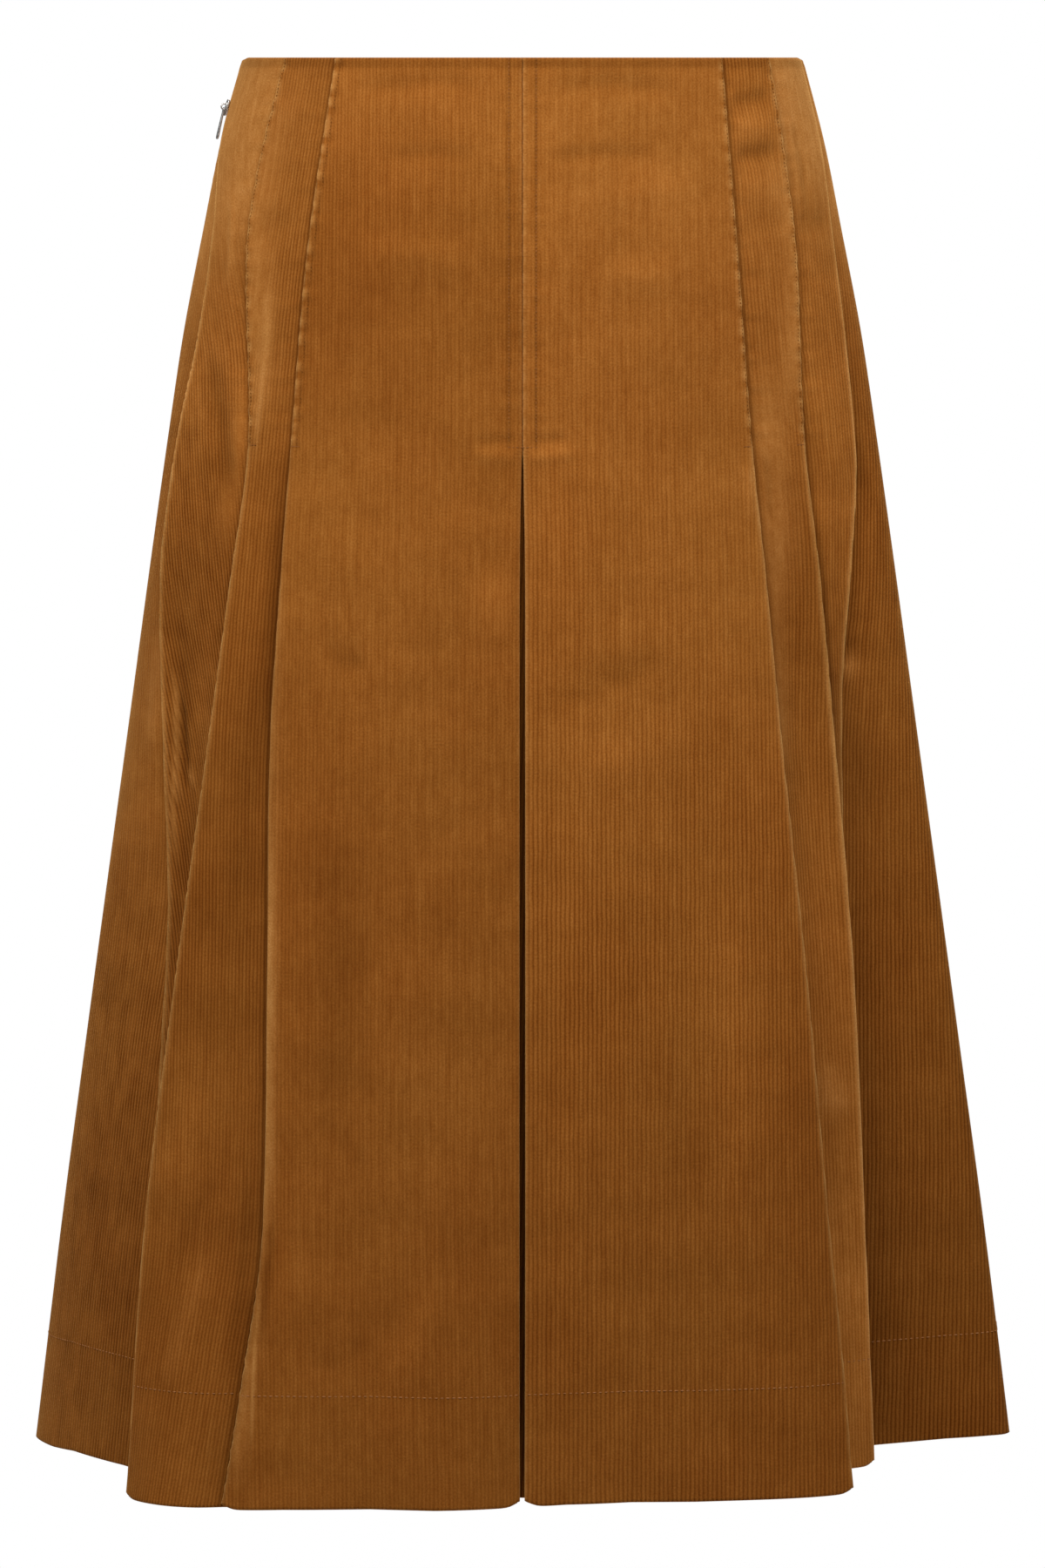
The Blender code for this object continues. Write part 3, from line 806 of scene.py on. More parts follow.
@dataclass(frozen=True)
class ThreadFinish:
    """Matt spun sewing thread, a little uneven along its length."""

    name: str
    light: Colour
    dark: Colour
    roughness: float = 0.8
    spots: float = 420.0

    def make(self) -> bpy.types.Material:
        """Makes the material on object coordinates."""
        material, shader = new_material(self.name)
        tree = material.node_tree
        spot = textured(tree, "ShaderNodeTexNoise", {"Scale": self.spots})
        feed(shader, {"Base Color": blended(tree, spot, self.dark, self.light),
                      "Roughness": self.roughness, "Specular IOR Level": 0.03})
        return material


@dataclass(frozen=True)
class TapeFinish:
    """The zip's woven tape, fine ribs across its length."""

    thread: Colour = (0.17, 0.075, 0.024)
    gap: Colour = (0.07, 0.028, 0.009)

    def make(self) -> bpy.types.Material:
        """Makes the material on object coordinates."""
        material, shader = new_material("zip tape weave")
        tree = material.node_tree
        rib = textured(tree, "ShaderNodeTexWave", {"Scale": 420.0, "Distortion": 0.6},
                       bands_direction="Z")
        feed(shader, {"Base Color": blended(tree, rib, self.gap, self.thread),
                      "Normal": bumped(tree, rib, 0.0001), "Roughness": 0.75})
        return material


@dataclass(frozen=True)
class MetalFinish:
    """Plated zip metal, brushed by wear."""

    bright: Colour = (0.62, 0.61, 0.60)
    dull: Colour = (0.40, 0.385, 0.37)

    def make(self) -> bpy.types.Material:
        """Makes the material on object coordinates."""
        material, shader = new_material("zip metal")
        tree = material.node_tree
        rubbed = textured(tree, "ShaderNodeTexNoise", {"Scale": 700.0, "Detail": 3.0})
        rough = add_node(tree, "ShaderNodeMapRange",
                         {"To Min": 0.22, "To Max": 0.45, "Value": rubbed})
        feed(shader, {"Base Color": blended(tree, rubbed, self.dull, self.bright),
                      "Roughness": rough.outputs["Result"], "Metallic": 1.0})
        return material


class Finishes:
    """Every material of the skirt, made once."""

    def __init__(self) -> None:
        wales = wale_group()
        self.pile = CorduroyFinish().make(wales)
        self.reverse = ReverseFinish().make(wales)
        self.thread = ThreadFinish("brown thread", (0.25, 0.085, 0.014),
                                   (0.130, 0.040, 0.006)).make()
        self.centre_thread = ThreadFinish("russet thread", (0.44, 0.180, 0.058),
                                          (0.12, 0.036, 0.007), spots=160.0).make()
        self.hem_thread = ThreadFinish("tan thread", (0.46, 0.21, 0.080),
                                       (0.28, 0.110, 0.032)).make()
        self.tape = TapeFinish().make()
        self.coil = ThreadFinish("zip coil", (0.20, 0.10, 0.045), (0.12, 0.05, 0.02), 0.4).make()
        self.metal = MetalFinish().make()


# ---- Putting meshes in the scene ----
def put(name: str, data: bpy.types.ID) -> bpy.types.Object:
    """Adds an object to the scene."""
    piece = bpy.data.objects.new(name, data)
    bpy.context.scene.collection.objects.link(piece)
    return piece


def plain_mesh(piece: bpy.types.Object) -> bpy.types.Mesh:
    """The mesh of an object as it now is, with its modifiers or its curve's bevel."""
    bpy.context.view_layer.update()
    return bpy.data.meshes.new_from_object(
        piece.evaluated_get(bpy.context.evaluated_depsgraph_get()))


# ---- A cloth piece as a closed shell with real wales ----
class RowLine:
    """A piece's line at one drop, read by the length along the cloth from its grain edge."""

    def __init__(self, run: Run, drop: float, grain_edge: Edge, shift: float) -> None:
        line = Line(run.points)
        reference = run.start if grain_edge is Edge.START else run.end
        tangent = np.gradient(line.points, axis=0)
        tangent /= np.linalg.norm(tangent, axis=1, keepdims=True)
        self.drop = drop
        self.points = line.points
        self.normals = np.stack((tangent[:, 1], -tangent[:, 0]), -1)
        self.along = line.along - line.along[reference] + shift
        self.shown = (self.along[run.start], self.along[run.end])

    @property
    def span(self) -> tuple[float, float]:
        """The first and last length along the cloth."""
        return float(self.along[0]), float(self.along[-1])

    def at(self, along: np.ndarray) -> Columns:
        """Reads the line at lengths along the cloth."""
        x, y = (np.interp(along, self.along, self.points[:, k]) for k in (0, 1))
        nx, ny = (np.interp(along, self.along, self.normals[:, k]) for k in (0, 1))
        size = np.hypot(nx, ny)
        return Columns(x, y, nx / size, ny / size, along - self.shown[0],
                       self.shown[1] - along, along - self.along[0], self.along[-1] - along)


class MeshParts:
    """Vertices, faces and their data, gathered before they become a mesh."""

    def __init__(self) -> None:
        self.places: list[np.ndarray] = []
        self.grain: list[np.ndarray] = []
        self.nap: list[np.ndarray] = []
        self.faces: list[list[int]] = []
        self.slots: list[int] = []
        self.count = 0

    def add(self, places: np.ndarray, grain: np.ndarray, nap: np.ndarray) -> np.ndarray:
        """Adds vertices and gives their numbers."""
        self.places.append(places)
        self.grain.append(grain)
        self.nap.append(nap)
        first = self.count
        self.count += len(places)
        return np.arange(first, self.count)

    def cells(self, upper_left: np.ndarray, lower_left: np.ndarray, lower_right: np.ndarray,
              upper_right: np.ndarray, slot: int) -> None:
        """Adds one face for each cell, a triangle where a side of it has shrunk to a point."""
        cell = np.stack([a.ravel() for a in (upper_left, lower_left, lower_right,
                                             upper_right)], -1)
        thin_top = cell[:, 0] == cell[:, 3]
        thin_bottom = cell[:, 1] == cell[:, 2]
        whole = cell[~thin_top & ~thin_bottom]
        lower = cell[thin_top & ~thin_bottom][:, :3]
        upper = cell[~thin_top & thin_bottom][:, (0, 1, 3)]
        for faces in (whole, lower, upper):
            self.faces += faces.tolist()
            self.slots += [slot] * len(faces)

    def polygon(self, corners: Sequence[int], slot: int) -> None:
        """Adds one face, leaving out corners that repeat."""
        kept = [int(c) for i, c in enumerate(corners) if c != corners[i - 1]]
        if len(kept) > 2:
            self.faces.append(kept)
            self.slots.append(slot)

    def mesh(self, name: str, materials: Sequence[bpy.types.Material]) -> bpy.types.Mesh:
        """Makes the mesh, smooth, with its grain map, painted shading, wear and painted sheen, and
        clearness of ribs.
        """
        data = bpy.data.meshes.new(name)
        data.from_pydata(np.vstack(self.places).tolist(), [], self.faces)
        for material in materials:
            data.materials.append(material)
        data.polygons.foreach_set("material_index", np.array(self.slots, np.int32))
        corner = np.zeros(len(data.loops), np.int32)
        data.loops.foreach_get("vertex_index", corner)
        layer = data.uv_layers.new(name="grain")
        layer.data.foreach_set("uv", np.vstack(self.grain)[corner].astype(np.float32).ravel())
        nap = np.vstack(self.nap).astype(np.float32)
        for attribute, values in zip(("tone", "worn", "ribs"), nap.T):
            made = data.attributes.new(attribute, "FLOAT", "POINT")
            made.data.foreach_set("value", np.ascontiguousarray(values))
        data.shade_smooth()
        data.update()
        return data


@dataclass
class Panel:
    """One cut piece of corduroy.

    Attributes:
        name: The piece's name in the scene.
        node: The solid that it stands for.
        run: Gives the piece's line at a drop.
        drops: The drops of its rows, below the waist edge.
        grain_edge: The end of what shows that its wales are counted from.
        skew: How the wales lean away from that edge.
        folds: The ends of what shows that are folded edges, and how pale their pile is painted for
            wear and highlight.
        butted: The folded edge that is sewn shut against its neighbour's, if there is one.
        lips: The ends that are seamed but stand free, and how pale their edge is painted for wear
            and highlight.
        covered: The ends of what shows that lie under another piece.
        seamed: The ends of the cloth that are sewn to the next piece, pile to pile.
        sewn: Lines of stitches along it.
        creases: Ridges, troughs, brushed streaks and strokes of painted light and shade, placed one
            by one.
        nap: Its painted shading, painted sheen and clearness of ribs from the waist down.
        nap_reach: How far from its grain edge that holds, past which the pile is plain.
        wale: The pitch of its wales, eased or stretched a little from the cloth's.
        hem_dip: How far its hem dips at places across the skirt.
        rim: How strong a painted golden highlight is where the skirt turns away at its right side.
        phase: Where its ripples start.
    """

    name: str
    node: str
    run: Callable[[float], Run]
    drops: Sequence[float]
    grain_edge: Edge
    skew: Sequence[SkewRow] = (SkewRow(0, 0), SkewRow(660, 0))
    folds: dict[Edge, float] = field(default_factory=dict)
    butted: Edge | None = None
    lips: dict[Edge, float] = field(default_factory=dict)
    covered: tuple[Edge, ...] = ()
    seamed: tuple[Edge, ...] = tuple(Edge)
    sewn: Sequence[SewnLine] = ()
    creases: Sequence[Crease] = ()
    nap: Sequence[NapRow] = PLAIN_NAP
    nap_reach: float = math.inf
    wale: float = CLOTH.wale
    hem_dip: Sequence[tuple[float, float]] = ((0, 3.4), (1, 3.4))
    rim: float = 0.0
    phase: float = 0.0

    def row(self, drop: float) -> RowLine:
        """The piece's line at a drop."""
        shift = read_row(self.skew, drop).shift
        return RowLine(self.run(drop), drop, self.grain_edge, shift)

    @staticmethod
    def _from(edge: Edge, columns: Columns) -> np.ndarray:
        """Lengths from one end of what shows."""
        return columns.from_start if edge is Edge.START else columns.from_end

    def lift(self, drop: float, columns: Columns) -> np.ndarray:
        """How far creases, puckers and stitches move the cloth out along a row."""
        height = np.zeros(columns.x.shape)
        for crease in self.creases:
            if crease.height:
                height += crease.height * crease.share(columns, drop)
        for edge in Edge:
            away = self._from(edge, columns)
            ease = 9.0 if edge in self.covered else 3.5
            height *= smooth_step(away / ease)
        for number, line in enumerate(self.sewn):
            away = self._from(line.edge, columns)
            off = away - line.inset
            wave = RIPPLE.wave(drop, self.phase + 1.7 * number)
            puckers = line.pucker * wave * np.exp(-(off / line.spread) ** 2)
            if line.edge in self.folds:
                puckers *= smooth_step((away + FOLD_QUARTER + 1.1) / 1.6)
            else:
                puckers *= smooth_step(away / 2.0)
            dimple = line.sink * np.exp(-(off / 0.9) ** 2) * smooth_step(away / 1.0)
            height += (puckers - dimple) * line.sewn_share(drop)
        if self.butted is not None:
            height += self._squared(drop, columns)
        for edge in self.seamed:
            past = columns.past_first if edge is Edge.START else columns.past_last
            height += SEWN_CLOSING * (1 - smooth_step(past / 3))
        return height

    def _squared(self, drop: float, columns: Columns) -> np.ndarray:
        """How far the butted fold is filled out, square and closed where it is sewn shut."""
        turn = np.clip(-self._from(self.butted, columns) / CLOTH.fold_radius, 0, math.pi / 2)
        corner = 1 / np.maximum(np.cos(turn), np.sin(turn)) - 1
        open_share = smooth_step((drop - CLOTH.stitched + 2) / 14)
        share = 0.88 - 0.5 * open_share
        closing = SEWN_CLOSING * np.sin(turn) * (1 - smooth_step((drop - CLOTH.stitched) / 8))
        return (CLOTH.fold_radius + CLOTH.wall / 2) * corner * share + closing

    def wear(self, drop: float, columns: Columns) -> np.ndarray:
        """How pale the pile is painted along a row for wear and highlight, 1 on a folded edge."""
        worn = np.zeros(columns.x.shape)
        for edge, share in self.folds.items():
            away = self._from(edge, columns) + FOLD_QUARTER
            sewn = smooth_step((CLOTH.stitched + 4 - drop) / 8)
            lump = np.clip(LUMP_MEAN + LUMP_SWING * RIPPLE.wave(drop, self.phase + 1.7), 0, 1)
            if edge is self.butted:
                share = share * (1 - 0.6 * sewn * (1 - lump))
                breadth = 1.2
            else:
                share = share * (1 - sewn) + sewn * lump
                breadth = 1.8 + 0.7 * sewn
            worn += share * np.exp(-(away / breadth) ** 2)
        for edge, share in self.lips.items():
            worn += share * np.exp(-(self._from(edge, columns) / 1.7) ** 2)
        # Painted highlight: a golden rim where the right side turns away from the front
        facing = -columns.ny * (columns.x > 0)
        low = smooth_step((drop - 200) / 80)
        return worn + self.rim * low * np.exp(-(facing / 0.2) ** 2) * (columns.x > 0)

    def pile(self, drop: float, columns: Columns, lift: np.ndarray) -> np.ndarray:
        """The painted shading, the wear and painted sheen, and the clearness of the ribs along a
        row.

        Args:
            drop: Millimetres below the waist edge.
            columns: The row's places.
            lift: How far creases and sewing move the cloth out there.

        Returns:
            Columns of painted shading, of wear and painted sheen, and of clearness of the ribs.
        """
        row = read_row(self.nap, drop)
        near = 1 - smooth_step((self._from(self.grain_edge, columns) - self.nap_reach) / 50)
        tone = 1 + (row.tone - 1) * near
        painted_sheen = row.painted_sheen * near
        ribs = 1 + (row.ribs - 1) * near
        # Painted light and shade and painted golden highlights along the creases, and their brushed
        # ribs
        for crease in self.creases:
            if crease.smooth or crease.painted_sheen or crease.light:
                share = crease.share(columns, drop)
                tone = tone * (1 + crease.light * share)
                painted_sheen = painted_sheen + crease.painted_sheen * share
                ribs = ribs * (1 - crease.smooth * share)
        # Painted shade where the piece runs under its neighbour
        for edge in self.covered:
            away = np.maximum(self._from(edge, columns), 0)
            tone = tone * (1 - PAINTED_UNDER_SHADE * np.exp(-(away / 2.6) ** 2))
        # Painted shade in the dimples along the lines of stitches
        for line in self.sewn:
            off = self._from(line.edge, columns) - line.inset
            share = line.sink * line.sewn_share(drop)
            tone = tone * (1 - 0.45 * share * np.exp(-(off / 0.9) ** 2))
        # Darker along the top few millimetres below the waist edge
        darker_near_waist = 1 - 0.24 * (1 - smooth_step((drop - 3.6) / 2.4))
        # Painted shade: darker towards the hem, where less light falls
        low = 1 - 0.16 * smooth_step((drop - 150) / 450)
        # Painted light on ridges and painted shade in troughs
        painted_crease_light = 1 + np.clip(LIFT_PAINTED_LIGHT * lift, -0.3, 0.25)
        worn = np.clip(self.wear(drop, columns) + painted_sheen, 0, 1)
        return np.stack((tone * darker_near_waist * low * painted_crease_light, worn, np.clip(ribs, 0, 1.6)), -1)

    def inner_inset(self, drop: float, columns: Columns) -> np.ndarray:
        """How much thicker the cloth is on its inner side, where the hem is turned up."""
        room = np.full(columns.x.shape, np.inf)
        for edge in self.folds:
            room = np.minimum(room, np.abs(self._from(edge, columns) + FOLD_QUARTER))
        share = smooth_step((room - 4) / 22)
        return CLOTH.turned_up * share * (drop > CLOTH.length - CLOTH.hem)

    def surface(self, drop: float, along: np.ndarray, out: float) -> np.ndarray:
        """Points on the piece at lengths along its cloth.

        Args:
            drop: Millimetres below the waist edge.
            along: Lengths in the row's own measure.
            out: How far out from the middle of the wall, in millimetres.

        Returns:
            One point for each length, in metres.
        """
        columns = self.row(drop).at(np.asarray(along, float))
        reach = out + self.lift(drop, columns)
        return np.stack((columns.x + columns.nx * reach, columns.y + columns.ny * reach,
                         self.eased(drop, columns) - drop), -1) * MM

    def eased(self, drop: float, columns: Columns) -> np.ndarray:
        """How far up or down a row is eased where the waist edge and the hem round off."""
        waist = WAIST_DIP * smooth_step((np.abs(columns.x) - 129.5) / 3)
        rise = np.zeros(columns.x.shape)
        for edge in self.folds:
            away = self._from(edge, columns) + FOLD_QUARTER
            rise += HEM_RISE * np.exp(-(away / 4.5) ** 2)
        dip = np.interp(columns.x, *zip(*self.hem_dip))
        return (rise * smooth_step((drop - CLOTH.length + 14) / 14)
                - dip * smooth_step((drop - CLOTH.length + EASED_OVER) / EASED_OVER)
                - waist * (1 - smooth_step(drop / 5)))

    def edge_path(self, edge: Edge, inset: float, drops: Sequence[float],
                  out: float) -> np.ndarray:
        """Points down the piece at one distance from an end of what shows, in metres."""
        path = []
        for drop in drops:
            row = self.row(drop)
            along = row.shown[0] + inset if edge is Edge.START else row.shown[1] - inset
            path.append(self.surface(drop, np.array([along]), out)[0])
        return np.array(path)

    def build(self, finishes: Finishes) -> bpy.types.Object:
        """Makes the piece's shell.

        Args:
            finishes: The skirt's materials.

        Returns:
            The finished object, in its place.
        """
        rows = [self.row(drop) for drop in self.drops]
        plain = np.array((1.0, 0.0, 1.0))
        step = self.wale / COLUMNS_PER_WALE
        first = math.floor(min(r.span[0] for r in rows) / self.wale) * COLUMNS_PER_WALE
        last = math.ceil(max(r.span[1] for r in rows) / self.wale) * COLUMNS_PER_WALE
        columns = np.arange(first, last + 1)
        coarse = np.arange(0, len(columns), COLUMNS_PER_WALE)
        parts = MeshParts()
        half = CLOTH.wall / 2

        outer, inner, rims = [], [], []
        down_the_grain = 0.0
        for number, row in enumerate(rows):
            if number:
                down_the_grain += row.drop - rows[number - 1].drop
            low, high = row.span
            ids = []
            for chosen, side in ((columns, 1), (columns[coarse], -1), (columns[coarse], 0)):
                along = np.clip(chosen * step, low, high)
                fresh = np.concatenate(([True], along[1:] != along[:-1]))
                at = row.at(along[fresh])
                lift = self.lift(row.drop, at)
                nap = np.tile(plain, (len(lift), 1))
                if side > 0:
                    nap = self.pile(row.drop, at, lift)
                    phase = along[fresh] / self.wale
                    cut = np.clip(1 - COLUMNS_PER_WALE * np.abs(phase - np.round(phase)), 0, 1)
                    reach = half + lift - CLOTH.wale_depth * np.clip(nap[:, 2], 0.05, 1.2) * cut
                elif side < 0:
                    reach = lift - half - self.inner_inset(row.drop, at)
                else:
                    reach = lift - self.inner_inset(row.drop, at) / 2
                drop = row.drop
                if side == 0 and number in (0, len(rows) - 1):
                    drop = 0.0 if number == 0 else CLOTH.length
                places = np.stack((at.x + at.nx * reach, at.y + at.ny * reach,
                                   self.eased(row.drop, at) - drop), -1) * MM
                grain = np.stack((along[fresh] * CLOTH.wale / self.wale,
                                  np.full(at.x.shape, down_the_grain)), -1) * MM
                if side == 0 and 0 < number < len(rows) - 1:
                    ends = [0, -1]
                    ids.append(parts.add(places[ends], grain[ends], nap[ends]))
                else:
                    ids.append(parts.add(places, grain, nap)[np.cumsum(fresh) - 1])
            outer.append(ids[0])
            inner.append(ids[1])
            rims.append(ids[2])
        self._join(parts, np.array(outer), np.array(inner), rims, coarse)
        data = parts.mesh(self.name, (finishes.pile, finishes.reverse))
        return put(self.name, data)

    @staticmethod
    def _join(parts: MeshParts, outer: np.ndarray, inner: np.ndarray,
              rims: Sequence[np.ndarray], coarse: np.ndarray) -> None:
        """Adds the faces of both sides and of the rounded rims that close the shell."""
        parts.cells(outer[:-1, :-1], outer[1:, :-1], outer[1:, 1:], outer[:-1, 1:], 0)
        parts.cells(inner[:-1, 1:], inner[1:, 1:], inner[1:, :-1], inner[:-1, :-1], 1)
        for k, (here, there) in enumerate(zip(coarse, coarse[1:])):
            for end, way in ((0, 1), (-1, -1)):
                rim = rims[end]
                parts.polygon([*outer[end, here:there + 1], rim[k + 1], rim[k]][::way], 0)
                parts.polygon((rim[k], rim[k + 1], inner[end, k + 1], inner[end, k])[::way], 0)
        for end, way in ((0, 1), (-1, -1)):
            rim = [r[end] for r in rims]
            for i in range(len(rim) - 1):
                parts.polygon((outer[i, end], rim[i], rim[i + 1], outer[i + 1, end])[::way], 0)
                parts.polygon((rim[i], inner[i, end], inner[i + 1, end], rim[i + 1])[::way], 0)

    def flat_cut(self) -> tuple[tuple[float, float], float]:
        """The piece as cut: its widest width, its length with the hem, and its area."""
        levels = np.linspace(0.5, CLOTH.length - 0.5, 23)
        widths = []
        for drop in levels:
            low, high = self.row(float(drop)).span
            widths.append((high - low) * MM)
        length = CLOTH.length * MM
        return (max(widths), length), float(np.mean(widths)) * length


# ---- Repeated small things, by Geometry Nodes ----
def beads_tree(name: str, across: bool) -> bpy.types.GeometryNodeTree:
    """Makes the tree that sets small rounded bars along a path.

    Args:
        name: The tree's name.
        across: Whether each bar lies across the path, as a zip's coil does, or along it.

    Returns:
        The tree, which ends in real meshes with their material.
    """
    tree = bpy.data.node_groups.new(name, "GeometryNodeTree")
    add_socket(tree, "Path", "NodeSocketGeometry")
    add_socket(tree, "Geometry", "NodeSocketGeometry", "OUTPUT")
    for size, value in (("Pitch", 0.003), ("Length", 0.0022), ("Radius", 0.00025),
                        ("Unevenness", 0.15)):
        add_socket(tree, size, "NodeSocketFloat", value=value)
    add_socket(tree, "Seed", "NodeSocketInt", value=1)
    add_socket(tree, "Material", "NodeSocketMaterial")
    given = add_node(tree, "NodeGroupInput").outputs
    chain = MathChain(tree)
    curve = add_node(tree, "GeometryNodeMeshToCurve", {"Mesh": given["Path"]})
    even = add_node(tree, "GeometryNodeResampleCurve",
                    {"Curve": curve.outputs["Curve"], "Length": given["Pitch"]}, mode="LENGTH")
    bar = add_node(tree, "GeometryNodeMeshUVSphere", {"Segments": 6, "Rings": 4, "Radius": 1.0})
    size = add_node(tree, "ShaderNodeCombineXYZ",
                    {"X": given["Radius"], "Y": given["Radius"],
                     "Z": chain("DIVIDE", given["Length"], 2.0)})
    shaped = add_node(tree, "GeometryNodeTransform",
                      {"Geometry": bar.outputs["Mesh"], "Scale": size.outputs["Vector"]})
    tangent = add_node(tree, "GeometryNodeInputTangent").outputs["Tangent"]
    turned = add_node(tree, "FunctionNodeAlignRotationToVector", {"Vector": tangent},
                      axis="X" if across else "Z")
    uneven = add_node(tree, "FunctionNodeRandomValue", data_type="FLOAT")
    place = {socket.identifier: i for i, socket in enumerate(uneven.inputs)}
    feed(uneven, {place["Min_001"]: chain("SUBTRACT", 1.0, given["Unevenness"]),
                  place["Max_001"]: chain("ADD", 1.0, given["Unevenness"]),
                  place["Seed"]: given["Seed"]})
    grown_by = next(output for output in uneven.outputs if output.type == "VALUE")
    placed = add_node(tree, "GeometryNodeInstanceOnPoints",
                      {"Points": even.outputs["Curve"], "Instance": shaped.outputs["Geometry"],
                       "Rotation": turned.outputs["Rotation"], "Scale": grown_by})
    real = add_node(tree, "GeometryNodeRealizeInstances",
                    {"Geometry": placed.outputs["Instances"]})
    smooth = add_node(tree, "GeometryNodeSetShadeSmooth", {"Geometry": real.outputs["Geometry"]})
    dressed = add_node(tree, "GeometryNodeSetMaterial",
                       {"Geometry": smooth.outputs["Geometry"], "Material": given["Material"]})
    add_node(tree, "NodeGroupOutput", {"Geometry": dressed.outputs["Geometry"]})
    return tree


def path_object(name: str, paths: Sequence[np.ndarray]) -> bpy.types.Object:
    """A mesh of edges that follows each path, for a geometry tree to work on."""
    edges: list[tuple[int, int]] = []
    first = 0
    for path in paths:
        edges += [(i, i + 1) for i in range(first, first + len(path) - 1)]
        first += len(path)
    data = bpy.data.meshes.new(name)
    data.from_pydata(np.vstack(paths).tolist(), edges, [])
    return put(name, data)


def grown(piece: bpy.types.Object, tree: bpy.types.GeometryNodeTree,
          **values: object) -> bpy.types.Object:
    """Runs a geometry tree on an object and keeps the result as its plain mesh.

    Args:
        piece: The object, whose mesh is the tree's path.
        tree: The tree.
        **values: The tree's inputs by name.

    Returns:
        The same object with its final mesh.
    """
    modifier = piece.modifiers.new(tree.name, "NODES")
    modifier.node_group = tree
    sockets = {s.name: s.identifier for s in tree.interface.items_tree if s.in_out == "INPUT"}
    for name, value in values.items():
        modifier[sockets[name]] = value
    data = plain_mesh(piece)
    piece.modifiers.remove(modifier)
    piece.data = data
    data.name = piece.name
    return piece


